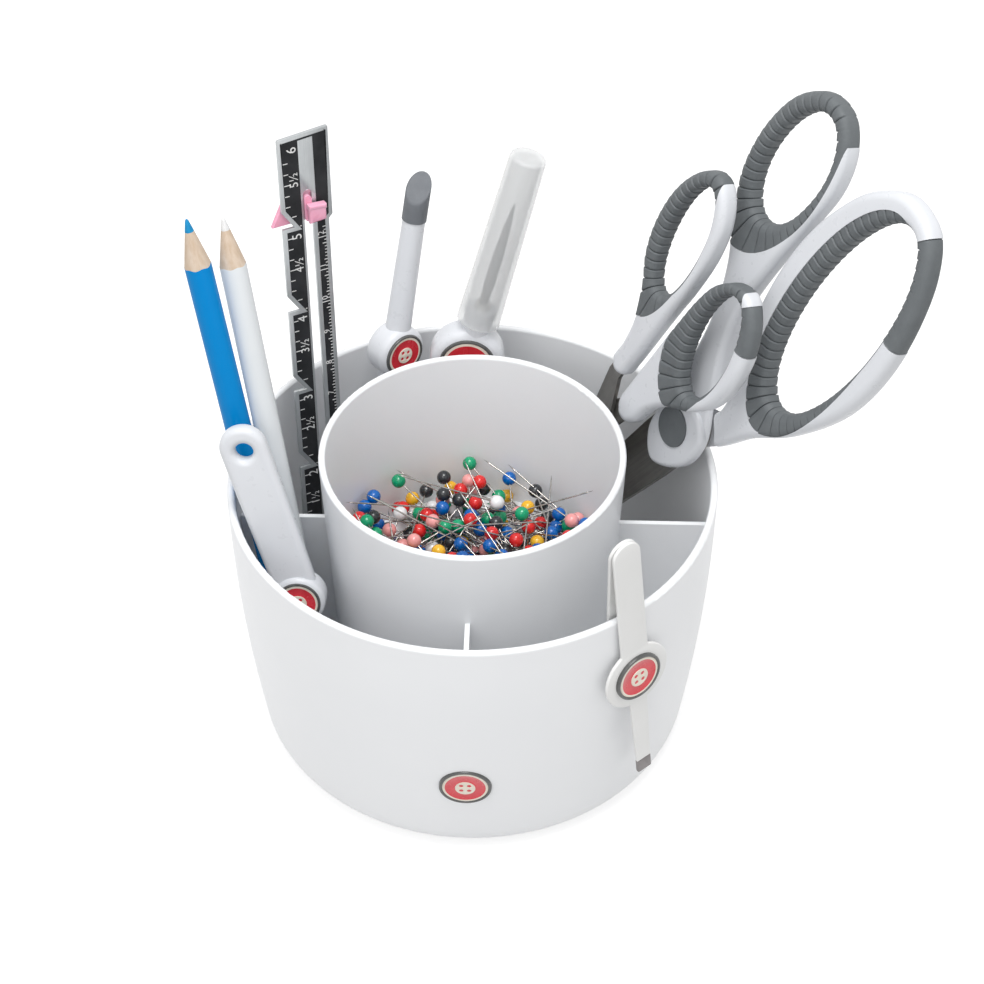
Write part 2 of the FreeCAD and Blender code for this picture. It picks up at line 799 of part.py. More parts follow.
def scissor_pivot(tool, frame):
    front = pivot_front(tool)
    back = size("blade_gap") + size(tool + "_blade_thick") - size("hinge_gap")
    pin = make("Part::Cylinder", tool + "_pin", None, Radius=f"Sizes.{tool}_pin_radius")
    pin.Height = front + back
    keep(tool + "_pivot_pin", pin, frame.multiply(at(y=back, rotation=TO_FRONT)))
    cap = make("Part::Cylinder", tool + "_cap", None, Radius=f"Sizes.{tool}_cap_radius",
               Height=f"Sizes.{tool}_cap_thick")
    keep(tool + "_pivot_cap", cap, frame.multiply(at(y=-front, rotation=TO_FRONT)))


def scissor_pieces(tool):
    half_foot = size(tool + "_blade_thick")
    frame = lifted(stance(tool, half_foot), size(tool + "_reach"))
    for side in ("left", "right"):
        _, blade = scissor_blade(tool, side, frame)
        scissor_handle(tool, side, blade, frame)
    scissor_pivot(tool, frame)


# ---------- measuring gauge ----------

def gauge_pieces():
    half = size("gauge_wide") / 2
    tall = size("gauge_tall")
    deep = size("gauge_notch_deep")
    inch = size("inch")
    step = size("gauge_step")
    notches = int(size("gauge_notches"))
    step_level = size("gauge_zero") + inch * notches
    points = [(-half, 0)]
    for number in range(1, notches + 1):
        level = size("gauge_zero") + inch * number
        points.append((-half, level))
        points.append((-half + deep, level))
        points.append((-half, level + size("gauge_notch_tall")))
    points.append((-half, tall - size("gauge_slant")))
    points.append((half, tall))
    points.append((half, step_level + step))
    points.append((half - step, step_level))
    points.append((half - step, 0))
    body = new_body("gauge_plate")
    add_pad(body, "gauge_flat", polygon(points), "Sizes.gauge_thick")
    slot_half = size("gauge_slot_wide") / 2
    across = size("gauge_slot_across")
    slot = bar(size("gauge_slot_start"), size("gauge_slot_end"), slot_half, across)
    add_pad(body, "gauge_slot", slot, f"Sizes.gauge_thick * {REACH}", pocket=True)
    frame = stance("gauge", half)
    keep("gauge_rule", body, frame)

    # slider: a knob in front, a pin through the slot and a pointer plate behind
    gap = size("slide_gap")
    level = size("slider_level")
    wide = size("slider_wide") / 2
    high = size("slider_tall") / 2
    thick = size("slider_thick")
    face = size("gauge_thick") / 2 + gap
    knob_half = size("slider_knob_wide") / 2
    knob = plain_pad("slider_knob", polygon([
        (across - knob_half, level - high), (across + knob_half, level - high),
        (across + knob_half, level + high), (across - knob_half, level + high),
    ]), "Sizes.slider_knob_thick", face, middle=False)
    plate = plain_pad("slider_plate", polygon([
        (-half - size("slider_pointer"), level - high), (across + wide / 2, level - high),
        (across + wide / 2, level + high), (-half + deep / 2, level + high),
    ]), "Sizes.slider_thick", -face - thick, middle=False)
    pin_half = slot_half - gap
    pin = plain_pad("slider_pin", polygon([
        (across - pin_half, level - high + gap), (across + pin_half, level - high + gap),
        (across + pin_half, level + high - gap), (across - pin_half, level + high - gap),
    ]), "Sizes.gauge_thick + Sizes.slide_gap * 2")
    keep("gauge_slider", fuse("slider_whole", knob, plate, pin), frame)


# ---------- seam ripper ----------

def ripper_pieces():
    level = size("ripper_boss_level")
    frame = stance("ripper", size("round_foot_lift"))
    half = size("ripper_handle_wide") / 2
    stem = rounded_pad("ripper_stem", bar(0, level, half), "Sizes.ripper_handle_thick",
                       "Sizes.ripper_handle_round")
    boss = rounded_pad("ripper_boss", [circle(0, level, size("ripper_boss_radius"))],
                       "Sizes.ripper_boss_thick", "Sizes.ripper_boss_round")
    neck_top = level + size("ripper_neck_top")
    neck = cone("ripper_neck", level, neck_top, "Sizes.ripper_neck_radius",
                "Sizes.ripper_neck_radius")
    whole = fuse("ripper_body", stem, boss, neck)
    keep("ripper_handle", cut("ripper_recessed", whole, boss_badge("ripper", frame)), frame)

    collar_top = neck_top + size("ripper_collar_tall")
    collar = cone("ripper_collar_ring", 0, size("ripper_collar_tall"),
                  "Sizes.ripper_collar_radius", "Sizes.ripper_collar_top_radius")
    keep("ripper_collar", collar, lifted(frame, neck_top))
    blade_half = size("ripper_spike_radius")
    top = level + size("ripper_spike_top")
    middle = collar_top + (top - collar_top) * HALF
    spike = plain_pad("ripper_blade", polygon([
        (-blade_half, collar_top), (blade_half, collar_top), (blade_half, middle),
        (blade_half * HALF, top), (-blade_half, middle),
    ]), "Sizes.ripper_spike_thick")
    keep("ripper_spike", spike, frame)

    low = level + size("ripper_cap_start")
    high = level + size("ripper_cap_top")
    wall = size("ripper_cap_wall")
    outer = cone("ripper_cap_outer", low, high, "Sizes.ripper_cap_radius",
                 "Sizes.ripper_cap_top_radius")
    inner = cone("ripper_cap_inner", low, high - wall,
                 "Sizes.ripper_cap_radius - Sizes.ripper_cap_wall",
                 "Sizes.ripper_cap_top_radius - Sizes.ripper_cap_wall")
    skirt = cone("ripper_cap_mouth", low, neck_top + wall,
                 "Sizes.ripper_neck_radius + Sizes.hinge_gap",
                 "Sizes.ripper_neck_radius + Sizes.hinge_gap")
    hollow = fuse("ripper_cap_hollow", inner, skirt)
    keep("ripper_cap", cut("ripper_cap_shell", outer, hollow), frame)


# ---------- point presser ----------

def presser_pieces():
    level = size("presser_boss_level")
    half = size("presser_handle_wide") / 2
    frame = stance("presser", size("round_foot_lift"))
    stem = rounded_pad("presser_stem", bar(0, level, half), "Sizes.presser_handle_thick",
                       "Sizes.presser_handle_round")
    boss = rounded_pad("presser_boss", [circle(0, level, size("presser_boss_radius"))],
                       "Sizes.presser_boss_thick", "Sizes.presser_boss_round")
    tip_start = level + size("presser_tip_start")
    shaft = cone("presser_shaft", level, tip_start, "Sizes.presser_shaft_radius",
                 "Sizes.presser_shaft_top_radius")
    whole = fuse("presser_body", stem, boss, shaft)
    keep("presser_handle", cut("presser_recessed", whole, boss_badge("presser", frame)), frame)

    radius = size("presser_shaft_top_radius")
    top = level + size("presser_tip_top")
    slant = size("presser_tip_slant")
    blank = cone("presser_tip_blank", tip_start, top, "Sizes.presser_shaft_top_radius",
                 "Sizes.presser_shaft_top_radius")
    rounded = doc.addObject("Part::Fillet", "presser_tip_round")
    doc.recompute()
    rounded.Base = blank
    top_edge = next(index for index, edge in enumerate(blank.Shape.Edges, start=1)
                    if edge.BoundBox.ZMin > top - radius)
    rounded.Edges = [(top_edge, radius * HALF, radius * HALF)]
    tilt = math.degrees(math.atan2(slant, radius * 2))
    scoop = make("Part::Box", "presser_scoop", FreeCAD.Placement(
        Vector(-radius * 2, -radius, top - slant), FreeCAD.Rotation(X_AXIS, tilt)))
    scoop.Length = radius * REACH
    scoop.Width = slant * REACH
    scoop.Height = slant * 2
    keep("presser_tip", cut("presser_tip_cut", rounded, scoop), frame)


# ---------- lint brush ----------

def brush_pieces():
    level = size("brush_boss_level")
    frame = stance("brush", size("brush_head_wide") / 2)
    half = size("brush_handle_wide") / 2
    top = size("brush_handle_top")
    handle = rounded_pad("brush_flat", bar(level - half, top, half),
                         "Sizes.brush_handle_thick", "Sizes.brush_handle_round")
    boss = rounded_pad("brush_boss", [circle(0, level, size("brush_boss_radius"))],
                       "Sizes.brush_boss_thick", "Sizes.brush_boss_round")
    head_top = size("brush_head_start") + size("brush_head_tall")
    neck = cone("brush_neck", head_top, level, "Sizes.brush_neck_radius",
                "Sizes.brush_neck_radius")
    whole = fuse("brush_body", handle, boss, neck)
    hole = make("Part::Cylinder", "brush_hole",
                at(y=half, z=top - size("brush_hole_drop"), rotation=TO_FRONT),
                Radius="Sizes.brush_hole_radius", Height="Sizes.brush_handle_wide")
    front = size("brush_handle_thick") / 2
    bevel = make("Part::Cone", "brush_hole_bevel",
                 at(y=size("brush_hole_bevel") - front, z=top - size("brush_hole_drop"),
                    rotation=TO_FRONT),
                 Radius1="Sizes.brush_hole_radius",
                 Radius2="Sizes.brush_hole_radius + Sizes.brush_hole_bevel",
                 Height="Sizes.brush_hole_bevel")
    holes = fuse("brush_holes", hole, bevel, boss_badge("brush", frame))
    keep("brush_handle", cut("brush_pierced", whole, holes), frame)

    wide = size("brush_head_wide") / 2
    head = rounded_pad("brush_head_block", polygon([
        (-wide, size("brush_head_start")), (wide, size("brush_head_start")),
        (wide, head_top), (-wide, head_top),
    ]), "Sizes.brush_head_thick", "Sizes.brush_head_round")
    keep("brush_ferrule", head, frame)
    tuft_low = size("brush_tuft_wide") / 2
    tuft_high = size("brush_tuft_top_wide") / 2
    tuft = plain_pad("brush_tuft", polygon([
        (-tuft_low, 0), (tuft_low, 0),
        (tuft_high, size("brush_head_start")), (-tuft_high, size("brush_head_start")),
    ]), "Sizes.brush_tuft_thick")
    keep("brush_bristles", tuft, frame)


# ---------- tweezers ----------

def tweezer_arm(name, offset, disc):
    """Flat arm hanging from the origin; offset puts it in front of or behind it."""
    low = -(size("tweezers_long") - size("tweezers_tip"))
    top = size("tweezers_top_wide") / 2
    narrow = size("tweezers_low_wide") / 2
    tip = size("tweezers_tip_wide") / 2
    level = -size("tweezers_disc_level")
    thick = "Sizes.tweezers_thick"
    parts = [
        plain_pad(name + "_crown", [circle(0, -top, top)], thick, offset, middle=False),
        plain_pad(name + "_upper", polygon([
            (-top, -top), (top, -top), (top, level), (-top, level)]), thick, offset, middle=False),
        plain_pad(name + "_lower", polygon([
            (-narrow, level), (narrow, level), (tip, low), (-tip, low)]), thick, offset, middle=False),
    ]
    if disc:
        radius = size("tweezers_disc_radius")
        parts.append(plain_pad(name + "_disc", [circle(0, level, radius)], thick, offset,
                               middle=False))
    return fuse(name + "_whole", *parts)


def tweezers_frame():
    """Frame at the joined end, over the middle of the bowl's wall, front facing out."""
    middle = rim_radius - size("bowl_wall") / 2
    turn = size("tweezers_turn")
    on_rim = polar(middle, turn, rim_level)
    outward = polar(1.0, turn)
    side = polar(1.0, turn + 90)
    swing = math.radians(size("tweezers_swing"))
    up = Z_AXIS * math.cos(swing) - side * math.sin(swing)
    frame = upright_frame(on_rim, on_rim + up, turn)
    return frame.multiply(at(z=size("tweezers_above_rim")))


def tweezers_pieces():
    frame = tweezers_frame()
    thick = size("tweezers_thick")
    level = -size("tweezers_disc_level")
    long = size("tweezers_long")
    tip = size("tweezers_tip_wide") / 2
    end = long - size("tweezers_tip")
    tip_outline = polygon([(-tip, -end), (tip, -end), (tip, -long), (-tip, -long)])
    for name, offset, sign, gap in (("outer", 0.0, -1, size("tweezers_rim_gap")),
                                    ("inner", -thick, 1, size("tweezers_inner_rim_gap"))):
        clear = size("bowl_wall") / 2 + gap
        slope = math.degrees(math.atan2(clear, size("tweezers_above_rim")))
        arm = tweezer_arm("tweezers_" + name, offset, disc=sign < 0)
        tilted = frame.multiply(at(rotation=FreeCAD.Rotation(X_AXIS, sign * slope)))
        keep(f"tweezers_{name}_arm", arm, tilted)
        tip_pad = plain_pad(f"tweezers_{name}_end", tip_outline, "Sizes.tweezers_thick",
                            offset, middle=False)
        keep(f"tweezers_{name}_tip", tip_pad, tilted)
        if sign < 0:
            seat = tilted.multiply(at(y=-thick, z=level, rotation=TO_FRONT))
            make_badge("tweezers", "tweezers_badge_radius", seat)


# ---------- pencils ----------

PENCIL_SIDES = 6
PAST_END = 1.0  # how far a cutting shape runs past the pencil's foot


def hexagon(radius):
    turns = [math.radians(360 / PENCIL_SIDES * side) for side in range(PENCIL_SIDES)]
    return polygon([(radius * math.cos(turn), radius * math.sin(turn)) for turn in turns])


def pencil_pieces(tool):
    """Hexagonal barrel whose upper end is sharpened through the wood to the lead."""
    tall = size(tool + "_long")
    corner = size("pencil_flats") / math.sqrt(3)
    frame = stance(tool, corner)
    frame = frame.multiply(at(rotation=FreeCAD.Rotation(Z_AXIS, size("pencil_roll"))))
    body = new_body(tool + "_blank")
    add_pad(body, tool + "_hexagon", hexagon(corner), f"Sizes.{tool}_long", role="XY_Plane",
            middle=False)
    point = size("pencil_point_radius")
    slope = (corner - point) / size("pencil_cone")
    cone_low = tall - size("pencil_cone")
    sharpener = cone(tool + "_sharpener", -PAST_END, tall, 0.0, point)
    sharpener.Radius1 = point + slope * (tall + PAST_END)
    flats_level = tall - (size("pencil_flats") / 2 - point) / slope
    paint_low = make("Part::Box", tool + "_paint_space", at(-corner * 2, -corner * 2, -PAST_END))
    paint_low.Length = corner * REACH
    paint_low.Width = corner * REACH
    paint_low.Height = PAST_END + flats_level - (flats_level - cone_low) * HALF
    sharp = common(tool + "_sharpened", body, sharpener)
    keep(tool + "_barrel", common(tool + "_painted", sharp, paint_low), frame)
    bare = cut(tool + "_bare", sharp, paint_low)
    lead_space = make("Part::Box", tool + "_lead_space",
                      at(-corner * 2, -corner * 2, tall - size("pencil_lead")))
    lead_space.Length = corner * REACH
    lead_space.Width = corner * REACH
    lead_space.Height = tall
    keep(tool + "_wood", cut(tool + "_wood_cut", bare, lead_space), frame)
    keep(tool + "_lead", common(tool + "_lead_cut", bare, lead_space), frame)


# ---------- pins ----------

PIN_SEED = 5
PIN_DIP = -0.25  # a pin's point lies this much below or above its head, as a share of its length
PIN_RISE = 0.3
PARALLEL = 1e-9
POINT_RUN = Vector(0, 0, 0.006)  # a ball's centre as a very short segment


def segment_gap(start, run, other_start, other_run):
    """Shortest distance between two straight segments."""
    between = start - other_start
    dot_ab = run.dot(other_run)
    spread = run.dot(run) * other_run.dot(other_run) - dot_ab ** 2
    share = 0.0
    if spread > PARALLEL:
        share = (dot_ab * other_run.dot(between) - other_run.dot(other_run) * run.dot(between)) / spread
    share = min(max(share, 0.0), 1.0)
    other_share = (other_run.dot(between + run * share)) / other_run.dot(other_run)
    other_share = min(max(other_share, 0.0), 1.0)
    share = min(max((run.dot(other_run * other_share - between)) / run.dot(run), 0.0), 1.0)
    return (between + run * share - other_run * other_share).Length


def scatter_pins():
    """Heads and shafts of pins dropped one by one into the cup, each resting on the heap."""
    chooser = random.Random(PIN_SEED)
    head = size("pin_head_radius")
    step = size("pin_drop_step")
    room = cup_outer(size("cup_tray_level")) - size("cup_wall") - head - size("seat_gap")
    lowest = size("cup_tray_level") + size("seat_gap")
    placed = []
    while len(placed) < size("pin_count"):
        aim = polar(1.0, chooser.uniform(0, 360), chooser.uniform(PIN_DIP, PIN_RISE)).normalize()
        centre = polar(room * math.sqrt(chooser.random()), chooser.uniform(0, 360))
        run = aim * (size("pin_long") - head * 2)
        end = centre + aim * head + run
        if math.hypot(end.x, end.y) > room:
            continue
        centre.z = lowest + max(head, size("pin_shaft_radius") - aim.z * size("pin_long"))
        while not all(pins_clear(centre, centre + aim * head, run, other) for other in placed):
            centre.z += step
        placed.append((Vector(centre), centre + aim * head, run))
    return placed


def pins_clear(centre, start, run, other):
    head = size("pin_head_radius")
    shaft = size("pin_shaft_radius")
    air = size("pin_air")
    other_centre, other_start, other_run = other
    if (centre - other_centre).Length < head * 2 + air:
        return False
    if segment_gap(start, run, other_start, other_run) < shaft * 2 + air:
        return False
    if segment_gap(centre, POINT_RUN, other_start, other_run) < head + shaft + air:
        return False
    return segment_gap(other_centre, POINT_RUN, start, run) > head + shaft + air


PIN_COLOURS = ("red", "green", "blue", "yellow", "pink", "white", "black")


def pin_pieces():
    pins = scatter_pins()
    shafts = []
    heads = {colour: [] for colour in PIN_COLOURS}
    for number, (centre, start, run) in enumerate(pins):
        shafts.append(Part.makeCylinder(size("pin_shaft_radius"), run.Length, start, run))
        colour = PIN_COLOURS[number % len(PIN_COLOURS)]
        heads[colour].append(Part.makeSphere(size("pin_head_radius"), centre))
    groups = {"pin_shafts": shafts}
    groups.update({f"pin_heads_{colour}": balls for colour, balls in heads.items()})
    for node, solids in groups.items():
        feature = doc.addObject("Part::Feature", node + "_group")
        feature.Shape = Part.makeCompound(solids)
        keep(node, feature)


# ---------- build, check and write ----------

bowl_pieces()
cup_pieces()
for scissors in SCISSORS:
    scissor_pieces(scissors)
gauge_pieces()
ripper_pieces()
presser_pieces()
brush_pieces()
tweezers_pieces()
for pencil in ("blue_pencil", "white_pencil"):
    pencil_pieces(pencil)
pin_pieces()
doc.recompute()

failed = [item.Name for item in doc.Objects if "Invalid" in item.State or "Error" in item.State]
if failed:
    raise RuntimeError(f"failed objects: {failed}")
for node, thing in nodes.items():
    shape = thing.Shape
    if shape.isNull() or not shape.isValid() or not shape.Solids:
        raise RuntimeError(f"{node} has no valid solid")

os.makedirs("parts", exist_ok=True)
for node, thing in nodes.items():
    thing.Shape.exportStep(f"parts/{node}.step")
print(len(nodes), "nodes")
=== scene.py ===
import bpy
import bmesh
import math
import random
from mathutils import Matrix, Vector
from mathutils.geometry import tessellate_polygon


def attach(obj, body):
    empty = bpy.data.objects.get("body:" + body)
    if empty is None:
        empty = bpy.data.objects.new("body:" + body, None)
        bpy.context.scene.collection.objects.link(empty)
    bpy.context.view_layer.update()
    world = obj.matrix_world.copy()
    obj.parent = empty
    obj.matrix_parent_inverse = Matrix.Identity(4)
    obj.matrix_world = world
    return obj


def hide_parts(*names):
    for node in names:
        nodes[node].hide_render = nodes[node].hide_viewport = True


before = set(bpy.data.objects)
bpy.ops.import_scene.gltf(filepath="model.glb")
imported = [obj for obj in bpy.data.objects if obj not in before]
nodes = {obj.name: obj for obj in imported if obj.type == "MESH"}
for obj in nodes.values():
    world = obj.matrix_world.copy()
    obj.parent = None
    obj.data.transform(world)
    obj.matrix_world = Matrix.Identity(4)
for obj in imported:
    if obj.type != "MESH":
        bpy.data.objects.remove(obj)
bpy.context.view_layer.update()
mm = 0.001  # sizes below are in millimetres
print("frame loaded:", len(nodes), "nodes")

# node groups shared by the materials

groupInputs = {"Vector": "Vector", "Base": "Color", "Shade": "Color", "Low": "Float",
               "High": "Float", "Scale": "Float", "Grain": "Float"}
groupOutputs = {"Color": "Color", "Roughness": "Float", "Height": "Float"}


def newGroup(name):
    group = bpy.data.node_groups.new(name, "ShaderNodeTree")
    for inOut, sockets in (("INPUT", groupInputs), ("OUTPUT", groupOutputs)):
        for label, kind in sockets.items():
            group.interface.new_socket(name=label, in_out=inOut, socket_type="NodeSocket" + kind)
    entry, leave = group.nodes.new("NodeGroupInput"), group.nodes.new("NodeGroupOutput")
    return group, entry.outputs, leave.inputs


def setInputs(tree, node, values):
    # a value is a number or a colour, or another node's socket to link
    for key, value in values.items():
        if hasattr(value, "is_linked"):
            tree.links.new(value, node.inputs[key])
        else:
            node.inputs[key].default_value = value


def addNode(tree, kind, values=None, **settings):
    node = tree.nodes.new(kind)
    for key, value in settings.items():
        setattr(node, key, value)
    setInputs(tree, node, values or {})
    return node


def addNoise(tree, vector, scale, detail=3.0, rough=0.55):
    values = {"Vector": vector, "Scale": scale, "Detail": detail, "Roughness": rough}
    return addNode(tree, "ShaderNodeTexNoise", values).outputs["Fac"]


def addRange(tree, value, low, high, toLow, toHigh):
    values = {"Value": value, "From Min": low, "From Max": high, "To Min": toLow, "To Max": toHigh}
    return addNode(tree, "ShaderNodeMapRange", values).outputs["Result"]


def addMath(tree, operation, first, second, kind="ShaderNodeMath"):
    return addNode(tree, kind, {0: first, 1: second}, operation=operation).outputs[0]


def addStretch(tree, vector, along):
    # what follows grows longer along Z as the factor falls
    return addMath(tree, "MULTIPLY", vector, (1.0, 1.0, along), "ShaderNodeVectorMath")


# each of these gives the field of the colour, of the roughness and of the height

def mouldedFields(group, entry):
    # clouded colour, a slightly uneven sheen and a fine grain, for mouldings, rubber and paint
    vector = entry["Vector"]
    return (addNoise(group, vector, entry["Scale"]), addNoise(group, vector, 420.0, 2.0),
            addNoise(group, vector, entry["Grain"], 2.0))


def brushedFields(group, entry):
    # fine lines along Z of the given vector, for ground and drawn metal
    lines = addNoise(group, addStretch(group, entry["Vector"], 0.03), entry["Grain"], 4.0, 0.7)
    cloud = addNoise(group, entry["Vector"], entry["Scale"])
    return addMath(group, "MULTIPLY", addMath(group, "ADD", lines, cloud), 0.5), lines, lines


def woodFields(group, entry):
    # growth streaks along Z with short dark pores
    along = addStretch(group, entry["Vector"], 0.12)
    pores = addNoise(group, along, entry["Grain"], 2.0)
    return addNoise(group, along, entry["Scale"], 5.0, 0.6), pores, pores


def makeGroup(name, fields, low, high):
    # the first field, between low and high, picks the colour
    group, entry, leave = newGroup(name)
    cloud, sheen, height = fields(group, entry)
    values = {"Factor": addRange(group, cloud, low, high, 0.0, 1.0), "A": entry["Base"],
              "B": entry["Shade"]}
    colour = addNode(group, "ShaderNodeMix", values, data_type="RGBA").outputs["Result"]
    rough = addRange(group, sheen, 0.3, 0.7, entry["Low"], entry["High"])
    for label, socket in (("Color", colour), ("Roughness", rough), ("Height", height)):
        group.links.new(socket, leave[label])
    return group


skinGroups = {
    "moulded": makeGroup("mouldedSkin", mouldedFields, 0.38, 0.66),
    "brushed": makeGroup("brushedMetal", brushedFields, 0.35, 0.65),
    "wood": makeGroup("sharpenedWood", woodFields, 0.35, 0.65),
}

# frames of the tools: foot or pivot, the way up, and the turn that the front faces

stands = {
    "gauge": ((-41.911, 22.567, 3.569), (-0.01719, 0.10684, 0.99413), -60.0),
    "ripper": ((-24.619, 39.094, 2.960), (0.25074, 0.09573, 0.96331), -90.0),
    "presser": ((-35.595, 31.603, 2.953), (0.14289, 0.21201, 0.96676), -50.0),
    "brush": ((-27.342, -38.474, 4.625), (-0.28851, 0.23739, 0.92758), -88.0),
    "blue_pencil": ((-45.350, -16.327, 3.547), (-0.15401, 0.13503, 0.97880), -90.0),
    "white_pencil": ((-38.454, -23.565, 3.783), (-0.14943, 0.22486, 0.96287), -90.0),
    "shears": ((56.776, 16.768, 87.964), (0.49199, -0.29053, 0.82069), -157.7),
    "snips": ((33.393, 31.022, 75.638), (0.39955, -0.19882, 0.89489), -155.5),
    "tweezers": ((38.687, -51.024, 108.418), (-0.06233, -0.05047, 0.99678), -51.0),
}


def wayOf(degrees):
    turn = math.radians(degrees)
    return Vector((math.cos(turn), math.sin(turn), 0.0))


def standFrame(foot, up, face):
    up, facing = Vector(up).normalized(), wayOf(face)
    facing = (facing - up * facing.dot(up)).normalized()
    axes = Matrix(((-facing).cross(up), -facing, up))
    return Matrix.Translation(Vector(foot)) @ axes.transposed().to_4x4()


toolFrames = {tool: standFrame(*stand) for tool, stand in stands.items()}
toFront = Matrix.Rotation(math.radians(90), 4, "X")  # turns +Z to the front, -Y

# materials: base and shade colours, roughness, scale of the clouds, grain, bump and its depth


def skinLook(base, shade, rough, scale=300, grain=2600, bump=0.1, depth=0.0001, **more):
    return {"base": (*base, 1), "shade": (*shade, 1), "rough": rough, "scale": scale,
            "grain": grain, "bump": bump, "depth": depth, "group": "moulded", "metal": 0.0,
            "coat": 0.0, "gloss": 0.4, **more}


def metalLook(base, shade, rough, bump, **more):
    return skinLook(base, shade, rough, 90, 2600, bump, 0.00005, group="brushed", **more)


def ballLook(base, shade):
    return skinLook(base, shade, (0.1, 0.2), 300, 2200, 0.06, coat=0.4)


looks = {
    "white_shell": skinLook(
        (0.875, 0.885, 0.90), (0.863, 0.874, 0.89), (0.30, 0.38), 28, 1800, 0.05),
    "white_handle": skinLook(
        (0.655, 0.67, 0.70), (0.65, 0.665, 0.695), (0.27, 0.3), 60, 1500, 0.006),
    "grey_grip": skinLook(
        (0.128, 0.14, 0.147), (0.115, 0.126, 0.133), (0.52, 0.66), 180, 3600, 0.35, 0.0002),
    "grey_tip": skinLook(
        (0.14, 0.15, 0.165), (0.13, 0.14, 0.154), (0.5, 0.62), 220, 3600, 0.3, 0.0002),
    "badge_red": skinLook(
        (0.70, 0.028, 0.045), (0.62, 0.02, 0.035), (0.2, 0.3), 240, 2400, 0.05, coat=0.4),
    "badge_cream": skinLook((0.83, 0.77, 0.67), (0.78, 0.71, 0.6), (0.3, 0.4), 260, 2400, 0.08),
    "badge_rim": skinLook((0.085, 0.087, 0.085), (0.068, 0.07, 0.068), (0.25, 0.36), coat=0.3),
    "steel": metalLook((0.40, 0.39, 0.37), (0.27, 0.26, 0.25), (0.28, 0.42), 0.25, metal=1.0),
    "blade_steel": metalLook(
        (0.13, 0.14, 0.14), (0.09, 0.1, 0.1), (0.4, 0.5), 0.1, metal=0.6, tool="ripper"),
    "pin_steel": skinLook(
        (0.56, 0.54, 0.51), (0.38, 0.36, 0.34), (0.18, 0.3), 300, 4200, 0.1, 0.00005, metal=1.0),
    "tweezer_paint": skinLook(
        (0.80, 0.80, 0.79), (0.79, 0.79, 0.778), (0.28, 0.36), 120, 1700, 0.03),
    "tweezer_tip": skinLook((0.27, 0.25, 0.25), (0.2, 0.185, 0.185), (0.4, 0.5), 260, bump=0.2),
    "gauge_metal": metalLook(
        (0.56, 0.58, 0.59), (0.45, 0.47, 0.48), (0.34, 0.46), 0.2, metal=0.85, tool="gauge"),
    "gauge_black": skinLook(
        (0.018, 0.019, 0.021), (0.032, 0.033, 0.036), (0.34, 0.46), 130, depth=0.00005,
        gloss=0.15),
    "gauge_print": skinLook(
        (0.80, 0.80, 0.79), (0.66, 0.66, 0.655), (0.4, 0.5), 420, depth=0.00005),
    "pink": skinLook(
        (0.87, 0.42, 0.56), (0.82, 0.36, 0.5), (0.26, 0.36), 170, 1800, 0.08, soft=0.25),
    "blue_paint": skinLook(
        (0.0, 0.22, 0.56), (0.0, 0.21, 0.545), (0.23, 0.27), 120, 1500, 0.01, gloss=0.12),
    "white_paint": skinLook(
        (0.67, 0.695, 0.71), (0.66, 0.685, 0.702), (0.23, 0.27), 120, 1500, 0.01, gloss=0.3),
    "pencil_wood": skinLook(
        (0.64, 0.53, 0.43), (0.55, 0.42, 0.305), (0.55, 0.72), 900, 3000, 0.35, group="wood",
        tool="blue_pencil"),
    "blue_lead": skinLook((0.0, 0.27, 0.55), (0.0, 0.2, 0.44), (0.42, 0.55), 600, 3000, 0.3),
    "white_lead": skinLook(
        (0.74, 0.74, 0.74), (0.68, 0.68, 0.68), (0.45, 0.58), 600, 3000, 0.3),
    "bristle": skinLook((0.05, 0.05, 0.055), (0.1, 0.1, 0.11), (0.35, 0.5), 500, 3000),
    "head_red": ballLook((0.74, 0.022, 0.02), (0.66, 0.016, 0.016)),
    "head_green": ballLook((0.0, 0.34, 0.15), (0.0, 0.29, 0.125)),
    "head_blue": ballLook((0.0, 0.125, 0.47), (0.0, 0.105, 0.41)),
    "head_yellow": ballLook((0.92, 0.52, 0.03), (0.86, 0.45, 0.02)),
    "head_pink": ballLook((0.87, 0.37, 0.36), (0.82, 0.32, 0.31)),
    "head_white": ballLook((0.82, 0.82, 0.83), (0.76, 0.76, 0.78)),
    "head_black": ballLook((0.022, 0.024, 0.027), (0.03, 0.032, 0.036)),
}
for tool in ("shears", "snips"):
    looks[tool + "_steel"] = {**looks["steel"], "tool": tool}


def newSkin(name):
    skin = bpy.data.materials.new(name)
    skin.use_nodes = True
    return skin, skin.node_tree, skin.node_tree.nodes["Principled BSDF"]


def addBump(tree, height, strength, depth):
    values = {"Strength": strength, "Distance": depth, "Height": height}
    return addNode(tree, "ShaderNodeBump", values).outputs["Normal"]


def makeSkin(name, look):
    skin, tree, shader = newSkin(name)
    place = addNode(tree, "ShaderNodeTexCoord").outputs["Object"]
    if "tool" in look:
        turn = toolFrames[look["tool"]].to_3x3().inverted().to_euler()
        values = {"Vector": place, "Rotation": turn}
        place = addNode(tree, "ShaderNodeMapping", values).outputs["Vector"]
    low, high = look["rough"]
    values = {"Vector": place, "Base": look["base"], "Shade": look["shade"], "Low": low,
              "High": high, "Scale": look["scale"], "Grain": look["grain"]}
    group = addNode(tree, "ShaderNodeGroup", values, node_tree=skinGroups[look["group"]])
    colour, rough, height = (group.outputs[label] for label in groupOutputs)
    setInputs(tree, shader, {
        "Base Color": colour, "Roughness": rough, "Metallic": look["metal"],
        "Normal": addBump(tree, height, look["bump"], look["depth"]), "Coat Roughness": 0.12,
        "Coat Weight": look["coat"], "Specular IOR Level": look["gloss"]})
    if "soft" in look:
        setInputs(tree, shader, {"Subsurface Weight": look["soft"], "Subsurface Scale": 0.5,
                                 "Subsurface Radius": (0.004, 0.002, 0.002)})
    return skin


